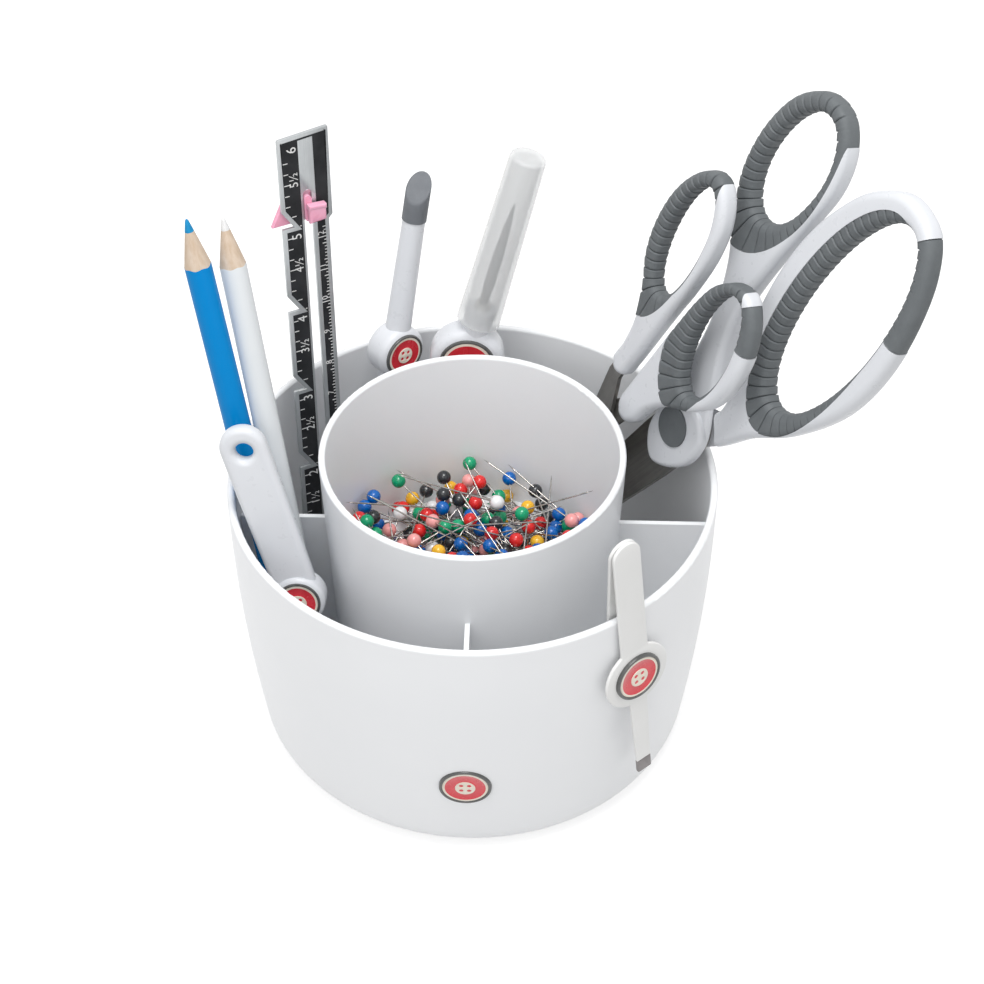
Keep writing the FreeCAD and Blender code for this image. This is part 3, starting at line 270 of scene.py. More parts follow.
def makeCapSkin():
    # frosted clear plastic
    skin, tree, shader = newSkin("clear_cap_skin")
    place = addNode(tree, "ShaderNodeTexCoord").outputs["Object"]
    frost = addRange(tree, addNoise(tree, place, 900.0), 0.3, 0.7, 0.14, 0.24)
    grain = addNoise(tree, place, 2200.0, 2.0)
    setInputs(tree, shader, {
        "Base Color": (0.70, 0.71, 0.715, 1), "Transmission Weight": 0.1, "IOR": 1.2,
        "Metallic": 0.0, "Alpha": 0.42, "Roughness": frost,
        "Normal": addBump(tree, grain, 0.15, 0.0001)})
    return skin


skins = {name: makeSkin(name + "_skin", look) for name, look in looks.items()}
skins["clear_cap"] = makeCapSkin()

for node in nodes.values():
    for place in node.material_slots:
        place.material = skins[place.material.name.split(".")[0]]
for tool in ("shears", "snips"):
    for part in ("left_blade", "right_blade", "pivot_pin"):
        nodes[f"{tool}_{part}"].material_slots[0].material = skins[tool + "_steel"]
nodes["ripper_collar"].material_slots[0].material = skins["pin_steel"]
print("materials made:", len(skins))

# mesh helpers

bandShare = 0.44  # a rounded edge takes at most this share of a band's width
sharpCorner = 0.35  # keeps the corners of an inset loop from running away


def newShell():
    return {"points": [], "faces": [], "paint": []}


def addFaces(shell, points, faces, paint=0, matrix=None):
    start = len(shell["points"])
    shell["points"] += [matrix @ Vector(point) if matrix else Vector(point) for point in points]
    shell["faces"] += [[start + index for index in face] for face in faces]
    shell["paint"] += [paint] * len(faces)
    return shell


def ringFaces(rows, count, start=0, closed=False):
    # quads from each ring of corners to the next, and from the last to the first if closed
    faces = []
    for row in range(rows if closed else rows - 1):
        low, high = start + row * count, start + (row + 1) % rows * count
        for k in range(count):
            after = (k + 1) % count
            faces.append([low + k, low + after, high + after, high + k])
    return faces


def circleLoop(across, up, radius, count=48):
    turns = [2 * math.pi * k / count for k in range(count)]
    return [(across + radius * math.cos(turn), up + radius * math.sin(turn)) for turn in turns]


def arcPoints(across, up, radius, first, last, count):
    turns = [math.radians(first + (last - first) * k / count) for k in range(count + 1)]
    return [(across + radius * math.cos(turn), up + radius * math.sin(turn)) for turn in turns]


def shifted(points, across, up):
    return [(across + x, up + z) for x, z in points]


def take(sizes, keys):
    return [sizes[key] for key in keys.split()]


def mirrored(points):
    return [(-across, up) for across, up in reversed(points)]


def edgesOf(loop):
    return zip(loop, loop[1:] + loop[:1])


def turned(loop, outer):
    # outer edges run anticlockwise and holes clockwise, so the material is always on the left
    area = sum(a[0] * b[1] - b[0] * a[1] for a, b in edgesOf(loop))
    return loop if (area > 0) == outer else loop[::-1]


def insetLoop(loop, depths):
    # every corner moved into the material by its own depth, keeping the edges parallel
    moved = []
    for before, here, after, deep in zip(loop[-1:] + loop[:-1], loop, loop[1:] + loop[:1], depths):
        runIn = Vector((here[0] - before[0], here[1] - before[1])).normalized()
        runOut = Vector((after[0] - here[0], after[1] - here[1])).normalized()
        sideIn, sideOut = Vector((-runIn.y, runIn.x)), Vector((-runOut.y, runOut.x))
        reach = (sideIn + sideOut) / max(1 + sideIn.dot(sideOut), sharpCorner)
        moved.append((here[0] + reach.x * deep, here[1] + reach.y * deep))
    return moved


def edgeRounds(loops, rounding):
    # rounding at each corner, less where the next edge is near
    found = []
    for loop in loops:
        others = [point for other in loops if other is not loop for point in other]
        near = [min((math.dist(point, other) for other in others), default=math.inf)
                for point in loop]
        found.append([min(rounding, gap * bandShare) for gap in near])
    return found


def addPlate(shell, outer, holes, thick, rounding, middle=0.0, paint=0, steps=4, matrix=None):
    # plate in the XZ plane with rounded edges; thickness along Y about the middle
    loops = [turned(outer, True)] + [turned(hole, False) for hole in holes]
    half = thick / 2
    bends = [math.pi / 2 * step / steps for step in range(steps + 1)] if rounding else [0.0]
    points, faces, caps, order, across = [], [], [], [], {}
    for loop, rounds in zip(loops, edgeRounds(loops, rounding)):
        start, count, rows = len(points), len(loop), []
        for bend in bends:
            edge = insetLoop(loop, [radius * (1 - math.sin(bend)) for radius in rounds])
            rows.append([(x, radius * (1 - math.cos(bend)) - half, z)
                         for (x, z), radius in zip(edge, rounds)])
        caps.append([Vector((x, z, 0)) for x, _, z in rows[0]])
        rows += [[(x, -y, z) for x, y, z in row] for row in reversed(rows)]
        points += [(x, middle + y, z) for row in rows for x, y, z in row]
        faces += ringFaces(len(rows), count, start)
        order += range(start, start + count)
        across.update({corner: corner + (len(rows) - 1) * count for corner in order[-count:]})
    for triangle in tessellate_polygon(caps):
        corners = [order[index] for index in triangle]
        faces += [corners, [across[corner] for corner in reversed(corners)]]
    return addFaces(shell, points, faces, paint, matrix)


def addLathe(shell, profile, count=64, paint=0, matrix=None, closed=False):
    # profile of (radius, height) turned round Z; a ring on the axis is a single point
    points, faces, rings = [], [], []
    for radius, level in profile:
        ring = circleLoop(0, 0, radius, count) if radius > 1e-6 else [(0, 0)]
        rings.append([len(points) + k % len(ring) for k in range(count)])
        points += [(x, y, level) for x, y in ring]
    for low, high in zip(rings, rings[1:] + rings[:closed]):
        for k in range(count):
            after = (k + 1) % count
            corners = dict.fromkeys((low[k], low[after], high[after], high[k]))
            if len(corners) > 2:
                faces.append(list(corners))
    return addFaces(shell, points, faces, paint, matrix)


def makeObject(name, data):
    thing = bpy.data.objects.new(name, data)
    bpy.context.scene.collection.objects.link(thing)
    return thing


def plainMesh(thing):
    # what the object looks like with its modifiers or its letters as faces
    graph = bpy.context.evaluated_depsgraph_get()
    return bpy.data.meshes.new_from_object(thing.evaluated_get(graph))


def setShading(mesh, sharp):
    mesh.shade_smooth()
    mesh.set_sharp_from_angle(angle=math.radians(sharp))


def makeMesh(name, shell, matrix, paints=("white_handle",), sharp=32):
    mesh = bpy.data.meshes.new(name)
    mesh.from_pydata([(matrix @ point) * mm for point in shell["points"]], [], shell["faces"])
    for paint in paints:
        mesh.materials.append(skins[paint])
    mesh.polygons.foreach_set("material_index", shell["paint"])
    work = bmesh.new()
    work.from_mesh(mesh)
    bmesh.ops.remove_doubles(work, verts=work.verts, dist=1e-7)
    bmesh.ops.recalc_face_normals(work, faces=work.faces)
    work.to_mesh(mesh)
    work.free()
    setShading(mesh, sharp)
    return makeObject(name, mesh)


def setPiece(piece, body, replaced):
    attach(piece, body)
    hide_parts(replaced)


def makePiece(name, shell, matrix, paints, body, replaced, sharp=32):
    # a mesh with its looks in order, tied to its body, with the part it stands in for hidden
    setPiece(makeMesh(name, shell, matrix, paints, sharp), body, replaced)


def carve(piece, cutters, operation="DIFFERENCE"):
    # cuts pieces away, or joins them on, and keeps the result as a plain mesh
    for cutter in cutters:
        modifier = piece.modifiers.new("carve", "BOOLEAN")
        modifier.operation, modifier.solver, modifier.object = operation, "EXACT", cutter
    result = plainMesh(piece)
    piece.modifiers.clear()
    piece.data = result
    for cutter in cutters:
        bpy.data.objects.remove(cutter)
    setShading(result, 32)


def blendAt(t, first, start, second, end):
    return first * ((end - t) / (end - start)) + second * ((t - start) / (end - start))


def smoothLoop(points, count=8):
    # closed smooth curve through the points
    result = []
    for index in range(len(points)):
        p0, p1, p2, p3 = (Vector(points[(index + k) % len(points)]) for k in (-1, 0, 1, 2))
        t1 = max((p1 - p0).length, 1e-6) ** 0.5
        t2 = t1 + max((p2 - p1).length, 1e-6) ** 0.5
        t3 = t2 + max((p3 - p2).length, 1e-6) ** 0.5
        for step in range(count):
            t = t1 + (t2 - t1) * step / count
            middle = blendAt(t, p1, t1, p2, t2)
            before = blendAt(t, blendAt(t, p0, 0, p1, t1), 0, middle, t2)
            after = blendAt(t, middle, t1, blendAt(t, p2, t2, p3, t3), t3)
            result.append(tuple(blendAt(t, before, t1, after, t2)))
    return result


def ellipsePoint(oval, turn):
    across, up, long, short, tilt = oval
    lean, side, rise = math.radians(tilt), short * math.cos(turn), long * math.sin(turn)
    return Vector((across + side * math.cos(lean) - rise * math.sin(lean),
                   up + side * math.sin(lean) + rise * math.cos(lean)))


def ellipseLoop(oval, count):
    return [tuple(ellipsePoint(oval, 2 * math.pi * k / count)) for k in range(count)]


# scissors: rounded handles with ribbed soft grips; a hole is its place, half lengths and tilt,
# and a grip is what it adds to each

scissors = {
    "shears": {
        "thick": 6.2, "blade": 1.75, "hubClear": 15.3, "capRadius": 5.65, "capFront": 4.1,
        "housingThick": 4.6, "housingRound": 1.5, "round": 2.3,
        "housing": [(-7.6, -0.3), (-4.6, 7), (1.6, 10.2), (8, 8), (10.7, 0), (9, -7.4),
                    (3, -14.4), (-4.6, -10.6)],
        "left": {
            "outline": [
                (-37.1, 96.4), (-29.5, 92.1), (-24.2, 83.5), (-21.6, 70), (-19.2, 55),
                (-15.2, 38.5), (-8.6, 26.5), (0.6, 16.2), (8.8, 7.6), (10.6, -1), (8.2, -9.4),
                (2.4, -14.2), (-4.4, -11.4), (-8.4, -2), (-13.4, 12), (-19.6, 27), (-28.5, 39.5),
                (-38.5, 48), (-47, 58), (-51.6, 72), (-51.2, 85), (-45.6, 94)],
            "hole": (-36.4, 73.8, 18.5, 10.2, 9.1),
            "grip": (-3.6, -1.3, 11.5, 6.8, 3.9),
            "smooth": (10, 88),
        },
        "right": {
            "outline": [
                (0.4, 107.9), (8.8, 102), (16.8, 90), (22.7, 74.7), (24.7, 58.3), (20.8, 37.6),
                (14.8, 23.5), (11.4, 11), (7.8, 1.6), (4.8, -6), (-0.6, -8.8), (-5.8, -5.4),
                (-6.6, 1), (-2.4, 8), (3.2, 15), (2.2, 21.5), (-1.7, 28), (-7.6, 35),
                (-12.6, 44.5), (-17.2, 56.5), (-20.0, 69), (-20.4, 82), (-17.9, 95.5),
                (-10.5, 105.8)],
            "hole": (3.9, 69.2, 34.1, 13.1, 11.5),
            "grip": (-0.7, -4.2, 4.9, 2.9, 2.6),
            "wedge": [(-2, 100.5), (6.5, 117.5), (20.5, 121.5), (34.5, 105.5), (24.8, 91.5),
                      (14.5, 73.5)],
        },
    },
    "snips": {
        "thick": 5.6, "round": 2.1,
        "left": {
            "outline": [
                (-12, 89), (-6.4, 83.4), (-3.2, 74), (-2, 60), (-1.9, 42), (-1.9, 26),
                (-2.4, 20.6), (-5.4, 18.9), (-8.5, 21), (-8.9, 28), (-10.8, 36.5), (-15.5, 44.5),
                (-21.4, 52), (-25, 62.5), (-25.3, 75), (-21, 86.2), (-16.4, 89.8)],
            "hole": (-13.0, 66.9, 18.4, 7.1, 9.1),
            "grip": (-4.6, -0.3, 11.6, 4.7, 1.9),
            "smooth": (20, 76),
        },
        "right": {
            "outline": [
                (14, 79.7), (19.6, 76.8), (24.4, 69.8), (27.2, 58.5), (26, 47.5), (21.5, 39),
                (15, 31.3), (11.4, 23.5), (10.3, 16.7), (8.2, 13.4), (4.8, 12.7), (1.9, 15.6),
                (1.4, 22.4), (1.3, 36), (1.2, 50), (1.6, 62.3), (3.4, 70.5), (7.8, 77)],
            "hole": (14.3, 58.3, 17.6, 7.6, 9.5),
            "grip": (-3.6, -1.7, 7.4, 3.9, 0.5),
            "wedge": [(12.9, 72.6), (19.9, 88.6), (27.9, 91.6), (38.9, 77.6), (30.9, 74.1),
                      (19.9, 63.6)],
        },
    },
}
ribs = {
    "pitch": 2.7, "deep": 0.75, "thin": 1.35, "fade": 2.2, "plain": 2.0, "seam": 0.25,
    "across": 14, "blend": 16, "crest": 0.3, "groove": 0.7, "grooveWide": 0.055, "thinning": 1.2,
    "path": 5, "within": -0.12, "beyond": 4, "bulge": 0.6, "samples": 600, "even": 0.02,
    "least": 0.05, "sink": 0.3,
    "places": (0.0, 0.03, 0.07, 0.13, 0.25, 0.45, 0.65, 0.82, 0.92, 0.97),
}


def inside(loop, point):
    hit = False
    for a, b in edgesOf(loop):
        if (a[1] > point[1]) != (b[1] > point[1]):
            cross = a[0] + (point[1] - a[1]) / (b[1] - a[1]) * (b[0] - a[0])
            hit = hit != (point[0] < cross)
    return hit


def rayToLoop(start, aim, loop):
    best = 1e9
    for a, b in edgesOf(loop):
        edge, gap = Vector((b[0] - a[0], b[1] - a[1])), Vector((a[0] - start.x, a[1] - start.y))
        bottom = aim.x * edge.y - aim.y * edge.x
        if abs(bottom) > 1e-9:
            reach = (gap.x * edge.y - gap.y * edge.x) / bottom
            share = (gap.x * aim.y - gap.y * aim.x) / bottom
            if reach > 0 and -1e-6 <= share <= 1 + 1e-6:
                best = min(best, reach)
    return best


def plainShare(side, turn):
    # 1 where the outer face of a grip is smooth, and ribs stay at the finger hole
    if "smooth" not in side:
        return 0.0
    low, high = side["smooth"]
    return max(0.0, min(1.0, (turn - low) / ribs["blend"], (high - turn) / ribs["blend"]))


def gripSections(side, outline, rounding):
    # round the finger hole: start, way out, width, inner and outer rounding, how plain it is
    hole, wedge = side["hole"], side.get("wedge")
    zone = ellipseLoop([size + more for size, more in zip(hole, side["grip"])], 180)
    found = []
    for k in range(ribs["samples"]):
        turn = 2 * math.pi * k / ribs["samples"]
        here = ellipsePoint(hole, turn)
        ahead = ellipsePoint(hole, turn + 1e-3) - ellipsePoint(hole, turn - 1e-3)
        aim = Vector((ahead.y, -ahead.x)).normalized()
        toEdge = rayToLoop(here, aim, outline)
        toZone = rayToLoop(here, aim, zone) if inside(zone, here) else 0.0
        full = wedge and all(inside(wedge, here + aim * toEdge * part) for part in (0.5, 1))
        wide = toEdge if full else min(toEdge, max(toZone, ribs["thin"]))
        inner = min(rounding, toEdge * bandShare)
        outer = max(inner - (toEdge - wide) * ribs["thinning"], ribs["seam"])
        plain = 1.0 if full else plainShare(side, math.degrees(turn))
        found.append((here, aim, wide, inner, outer, plain))
    return found


def gripFootprint(sections):
    # loop round everything that the grip takes from the white moulding
    loop = []
    for here, aim, wide, inner, outer, _ in sections:
        more = ribs["beyond" if outer > inner - ribs["even"] else "within"]
        loop.append(tuple(here + aim * (wide + more)))
    return loop


def roundDrop(radius, reach):
    return radius - math.sqrt(max(radius ** 2 - max(radius - reach, 0) ** 2, 0))


def ribLift(share):
    # a rib is a soft lobe, highest at its start, and ends in a narrow groove
    groove = math.exp(-(min(share, 1 - share) / ribs["grooveWide"]) ** 2)
    return ribs["crest"] * (1 - share) * (1 - groove) - groove * ribs["groove"]


def addGrip(shell, sections, half):
    middles = [here + aim * min(wide, ribs["path"]) / 2 for here, aim, wide, *_ in sections]
    length = [0.0]
    for here, after in edgesOf(middles):
        length.append(length[-1] + (after - here).length)
    amount, places, steps = round(length[-1] / ribs["pitch"]), ribs["places"], ribs["across"]
    wants = [(rib + place) / amount * length[-1] for rib in range(amount) for place in places]
    points, cursor = [], 0
    for number, want in enumerate(wants):
        while length[cursor + 1] < want:
            cursor += 1
        blend = (want - length[cursor]) / (length[cursor + 1] - length[cursor])
        first, second = sections[cursor], sections[(cursor + 1) % len(sections)]
        here = first[0].lerp(second[0], blend)
        aim = first[1].lerp(second[1], blend).normalized()
        wide, inner, outer = (first[k] + (second[k] - first[k]) * blend for k in (2, 3, 4))
        lift = ribLift(places[number % len(places)]) * ribs["deep"]
        lift *= min(1.0, max(0.0, (wide - ribs["thin"]) / ribs["fade"]))
        front = []
        for step in range(steps + 1):
            across = wide * (1 - math.cos(math.pi * step / steps)) / 2
            strength = 1 - first[5] * min(1.0, across / ribs["plain"])
            level = half - roundDrop(inner, across) - roundDrop(outer, wide - across)
            bulge = lift * ribs["bulge"] * max(0.0, 1 - across / max(inner, 0.1))
            spot = here + aim * (across - bulge)
            front.append((spot.x, -max(level + lift * strength, ribs["least"]), spot.y))
        points += front + [(x, -y, z) for x, y, z in reversed(front)]
    return addFaces(shell, points, ringFaces(len(wants), 2 * (steps + 1), closed=True))


def makeCylinderCutter(radius, front, back, matrix):
    profile = [(0, 0), (radius, 0), (radius, back - front), (0, back - front)]
    seat = Matrix.Translation((0, back, 0)) @ toFront
    return makeMesh("cutter", addLathe(newShell(), profile, matrix=seat), matrix)


def makeScissorHandle(tool, sideName):
    spec, matrix, left = scissors[tool], toolFrames[tool], sideName == "left"
    side, thick, half, name = spec[sideName], spec["thick"], spec["thick"] / 2, f"{tool}_{sideName}"
    body = f"{tool}_{'front' if left else 'back'}"
    outline = turned(smoothLoop(side["outline"]), True)
    hole = ellipseLoop(side["hole"], 120)
    plate = addPlate(newShell(), outline, [hole], thick, spec["round"], steps=6)
    white = makeMesh(name + "_handle_moulding", plate, matrix)
    cutters = []
    if "housing" in spec and left:
        deep = spec["housingThick"]
        block = addPlate(newShell(), smoothLoop(spec["housing"]), [], deep, spec["housingRound"],
                         middle=-deep / 2, steps=5)
        carve(white, [makeMesh("housing", block, matrix)], "UNION")
        cutters = [makeCylinderCutter(spec["hubClear"], -spec["blade"], half * 3, matrix),
                   makeCylinderCutter(spec["capRadius"], -half * 3, -spec["capFront"], matrix)]
    elif "housing" in spec:
        cutters = [makeCylinderCutter(spec["hubClear"], -half * 3, spec["blade"], matrix)]
    sections = gripSections(side, outline, spec["round"])
    footprint = addPlate(newShell(), gripFootprint(sections), [], thick * 3, 0.0)
    carve(white, cutters + [makeMesh("cutter", footprint, matrix)])
    setPiece(white, body, name + "_handle")
    soft = addGrip(newShell(), sections, half - ribs["deep"] * ribs["sink"])
    makePiece(name + "_grip_rubber", soft, matrix, ["grey_grip"], body, name + "_grip", 40)


for tool in scissors:
    for sideName in ("left", "right"):
        makeScissorHandle(tool, sideName)
print("scissor handles made")

# round badges with a four-hole button on red

badges = {
    "bowl": {"radius": 6.9, "body": "organizer", "wall": 62.305, "level": 30.0, "slope": 5.775},
    "ripper": {"radius": 7.8, "body": "ripper", "front": 3.8, "level": 85.6},
    "presser": {"radius": 6.1, "body": "presser", "front": 3.8, "level": 85.4},
    "brush": {"radius": 5.9, "body": "brush", "front": 3.0, "level": 60.7},
    "tweezers": {"radius": 7.0, "body": "tweezers_outer", "front": 1.0, "level": -46.5},
}
badgeShape = {
    "band": 0.12, "recess": 0.5, "bezelTall": 1.0, "discTall": 0.8, "around": 96,
    "bezelOut": [(0, -1.0), (0, -0.3), (-0.12, -0.1), (-0.32, 0)],
    "bezelIn": [(0.3, 0), (0.1, -0.08), (0, -0.25)],
    "redEdge": [(-0.01, -0.8), (-0.01, -0.1), (-0.12, 0)], "creamEdge": (-0.12, -0.06),
    "creamRise": [(0.5, 0.02), (0, 0.03)], "cream": 0.885, "button": 0.44, "rim": 0.16,
    "rimTall": (0.1, 0.19), "hole": 0.095, "holeOut": 0.17, "plate": 0.3, "plateRound": 0.06,
    "plateSink": 0.02,
}
tweezerLean = {"outer": math.atan2(-1.35, 25.5), "inner": math.atan2(1.9, 25.5)}  # sprung apart


def badgeFrame(name, badge):
    if name == "bowl":
        slope = math.radians(badge["slope"])
        outward = Vector((0, -math.cos(slope), -math.sin(slope)))
        seat = Vector((0, -badge["wall"], badge["level"])) - outward * badgeShape["recess"]
        return Matrix.Translation(seat) @ Matrix.Rotation(math.radians(90) + slope, 4, "X")
    lean = Matrix.Rotation(tweezerLean["outer"] if name == "tweezers" else 0.0, 4, "X")
    seat = Matrix.Translation((0, -badge["front"], badge["level"]))
    return toolFrames[name] @ lean @ seat @ toFront


def makeBadge(name, badge):
    matrix, radius, body = badgeFrame(name, badge), badge["radius"], badge["body"]
    inner, around = radius * (1 - badgeShape["band"]), badgeShape["around"]
    profile = [(inner, 0)] + shifted(badgeShape["bezelOut"], radius, badgeShape["bezelTall"])
    profile += shifted(badgeShape["bezelIn"], inner, badgeShape["bezelTall"])
    ring = addLathe(newShell(), profile, around, closed=True)
    makePiece(name + "_badge_ring", ring, matrix, ["badge_rim"], body, name + "_badge_bezel")

    face, cream = badgeShape["discTall"], inner * badgeShape["cream"]
    red = [(0, 0)] + shifted(badgeShape["redEdge"], inner, face) + [(cream, face)]
    disc = addLathe(newShell(), red, around, 1)
    middle = [(cream, face)] + shifted([badgeShape["creamEdge"]], cream, face)
    middle += [(cream * share, face + rise) for share, rise in badgeShape["creamRise"]]
    addLathe(disc, middle, around)
    button, out = inner * badgeShape["button"], inner * badgeShape["holeOut"]
    holes = [circleLoop(out * across, out * up, inner * badgeShape["hole"], 20)
             for across in (-1, 1) for up in (-1, 1)]
    addPlate(disc, circleLoop(0, 0, button, 64), holes, badgeShape["plate"],
             badgeShape["plateRound"], middle=-face - badgeShape["plateSink"], paint=1, steps=2,
             matrix=toFront.inverted())
    rim, (low, high) = button * badgeShape["rim"], badgeShape["rimTall"]
    addLathe(disc, [(button - rim, face + low), (button - rim * 0.9, face + high),
                    (button - rim * 0.1, face + high), (button, face + low)], 64, 1, closed=True)
    paints = ["badge_red", "badge_cream"]
    makePiece(name + "_badge_face", disc, matrix, paints, body, name + "_badge_disc")


for name, badge in badges.items():
    makeBadge(name, badge)
print("badges made")

# measuring gauge: bare edge, black print, ticks and numbers, pink slider

gauge = {
    "wide": 14.4, "tall": 162.0, "thick": 0.9, "zero": 7.9, "inch": 25.4, "edgeRound": 0.1,
    "notches": 5, "deep": 3.3, "slantUp": 5.0, "topSlant": 1.0, "step": 1.1,
    "leftCorner": [(0, -0.5), (0.15, -0.15), (0.5, 0.04)],
    "rightCorner": [(-0.5, -0.04), (-0.15, -0.15), (0, -0.5)],
    "slotWide": 2.4, "slotStart": 12.0, "slotEnd": 145.0, "slotAcross": 0.35,
    "border": 1.15, "print": 0.03, "bareLow": -1.5, "bareHigh": 2.7, "bareTop": 160.3,
    "tick": 0.24, "inchTicks": (2.3, 1.9, 1.3), "metricTicks": (1.15, 0.9, 0.6),
    "tickGap": 0.1, "bareGap": 0.4, "notchGap": 0.35, "aboveNotch": 0.8, "aboveGap": 0.3,
    "wholeTall": 2.7, "halfTall": 2.4, "metricTall": 1.75, "wholeDown": 2.9, "halfUp": 1.2,
    "metricUp": 2.6, "inchIn": 0.6, "metricIn": 0.65, "lastNumber": 157.9, "halfInches": 12,
    "capital": 0.7, "notchEdge": (0.99, 0.3),
}
slider = {
    "level": 139.5, "gap": 0.15, "pinHalf": 3.8,
    "parts": [
        {"outline": [(-0.35, -3.5), (4.45, -3.1), (4.45, 1.0), (-0.35, 1.4)], "thick": 1.95,
         "round": 0.8, "middle": -2.205, "steps": 6},
        {"outline": [(-0.45, 0.6), (4.55, 0.2), (4.55, 1.5), (-0.45, 1.9)], "thick": 2.34,
         "round": 0.4, "middle": -2.03, "steps": 4},
        {"outline": [(-9.6, -4), (4, -4), (4, 4), (-5.55, 4)], "thick": 1.6, "round": 0.35,
         "middle": 1.4, "steps": 4},
    ],
}


def gaugeOutline():
    half, zero, inch, count, step = gauge["wide"] / 2, *take(gauge, "zero inch notches step")
    points = [(-half, 0)]
    for number in range(1, count + 1):
        level = zero + inch * number
        points += [(-half, level), (gauge["deep"] - half, level),
                   (-half, level + gauge["slantUp"])]
    points += shifted(gauge["leftCorner"], -half, gauge["tall"] - gauge["topSlant"])
    points += shifted(gauge["rightCorner"], half, gauge["tall"])
    top = zero + inch * count
    return turned(points + [(half, top + step), (half - step, top), (half - step, 0)], True)


def barLoop(low, high, half, across):
    return (arcPoints(across, high - half, half, 0, 180, 10)
            + arcPoints(across, low + half, half, 180, 360, 10))


def addWords(shell, words, tall, across, up):
    # raised print that reads up the gauge
    text = bpy.data.curves.new("print", "FONT")
    text.body, text.size, text.align_x = words, tall / gauge["capital"], "CENTER"
    text.extrude, text.resolution_u = gauge["print"] / 2, 3
    holder = makeObject("print", text)
    mesh = plainMesh(holder)
    turn = Matrix.Translation((across, -gauge["thick"] / 2, up)) @ toFront
    addFaces(shell, [vert.co for vert in mesh.vertices],
             [list(face.vertices) for face in mesh.polygons], 2,
             turn @ Matrix.Rotation(math.radians(90), 4, "Z"))
    bpy.data.objects.remove(holder)
    bpy.data.meshes.remove(mesh)


def addTick(shell, across, up, long):
    half = gauge["tick"] / 2
    box = [(across, up - half), (across + long, up - half), (across + long, up + half),
           (across, up + half)]
    addPlate(shell, box, [], gauge["print"] * 2, 0.0, middle=-gauge["thick"] / 2, paint=2)


def tickLength(lengths, number, whole):
    return lengths[0 if number % whole == 0 else 1 if number % (whole // 2) == 0 else 2]


def addInches(shell):
    left, zero, inch, slant = gauge["border"] - gauge["wide"] / 2, *take(gauge, "zero inch slantUp")
    first, beyond = gauge["notchEdge"]
    for eighth in range(int((gauge["tall"] - zero - 2) / inch * 8)):
        level, shift = zero + inch * eighth / 8, 0.0
        under, number = (level - zero) % inch, (level - zero) / inch
        if first <= number < gauge["notches"] + beyond:
            if under < slant:
                shift = gauge["deep"] * (1 - under / slant) + gauge["notchGap"]
            elif under < slant + gauge["aboveNotch"]:
                shift = gauge["aboveGap"]
        room = gauge["bareLow"] - left - shift - gauge["bareGap"]
        long = min(tickLength(gauge["inchTicks"], eighth, 8), room)
        addTick(shell, left + shift + gauge["tickGap"], level, long)
    for half in range(1, gauge["halfInches"] + 1):
        words, tall, level = str(half // 2), gauge["wholeTall"], zero + inch * half / 2
        if half % 2:
            words, tall = (words if half > 1 else "") + "½", gauge["halfTall"]
            level += gauge["halfUp"]
        else:
            level = min(level - gauge["wholeDown"], gauge["lastNumber"])
        addWords(shell, words, tall, gauge["bareLow"] - gauge["inchIn"], level)


def addMillimetres(shell):
    right = gauge["wide"] / 2 - gauge["step"] - gauge["border"]
    for step in range(int(gauge["inch"] * gauge["notches"] - 1)):
        level, long = gauge["zero"] + step, tickLength(gauge["metricTicks"], step, 10)
        addTick(shell, right - long, level, long)
        if step % 10 == 0 and step:
            addWords(shell, str(step // 10), gauge["metricTall"], right - gauge["metricIn"],
                     level + gauge["metricUp"])


def makeGauge():
    outline, thin, half = gaugeOutline(), gauge["print"], gauge["wide"] / 2
    start, end, low, high, top = take(gauge, "slotStart slotEnd bareLow bareHigh bareTop")
    slot = barLoop(start, end, gauge["slotWide"] / 2, gauge["slotAcross"])
    thick, slope = gauge["thick"] - thin * 2, gauge["topSlant"] / gauge["wide"]
    shell = addPlate(newShell(), outline, [slot], thick, gauge["edgeRound"], steps=2)
    bare = [(low, start - 1), (high, start - 1), (high, top - (half - high) * slope),
            (low, top - (half - low) * slope)]
    black = insetLoop(outline, [gauge["border"]] * len(outline))
    for side in (-1, 1):
        addPlate(shell, black, [bare], thin, 0.0, middle=side * (thick + thin) / 2, paint=1)
    addInches(shell)
    addMillimetres(shell)
    paints = ["gauge_metal", "gauge_black", "gauge_print"]
    makePiece("gauge_rule_printed", shell, toolFrames["gauge"], paints, "gauge", "gauge_rule")


def makeSlider():
    # crown, lip, pointer behind, and the pin in the slot
    shell, level, reach, gap = newShell(), *take(slider, "level pinHalf gap")
    for part in slider["parts"]:
        addPlate(shell, shifted(part["outline"], 0, level), [], part["thick"], part["round"],
                 middle=part["middle"], steps=part["steps"])
    wide = gauge["slotWide"] / 2 - gap
    pin = barLoop(level - reach, level + reach, wide, gauge["slotAcross"])
    addPlate(shell, pin, [], gauge["thick"] + gap * 4, 0.0)
    makePiece("gauge_slider_moulding", shell, toolFrames["gauge"], ["pink"], "gauge_slider",
              "gauge_slider")


makeGauge()
makeSlider()
print("gauge made")

# seam ripper: pointed blade and frosted cap

ripper = {
    "boss": 85.6, "bladeLow": 18.5, "thick": 0.9, "bladeRound": 0.3,
    "blade": [(-1.125, 0), (1.125, 0), (1.5, 6.4), (1.47, 16), (1.08, 24.96), (0.45, 31.5),
              (0.05, 32), (-0.3, 29.8), (-0.9, 24), (-1.425, 14.4), (-1.5, 5.76)],
    "capLow": 12.0, "capTop": 65.6, "capRadius": 6.05, "capTopRadius": 5.0, "wall": 1.0,
    "round": 1.3, "foot": 0.25, "innerCut": 0.6, "mouth": 4.6, "mouthTop": 17.5,
    "mouthEdge": [(0, 0.2), (0.15, 0)],
}


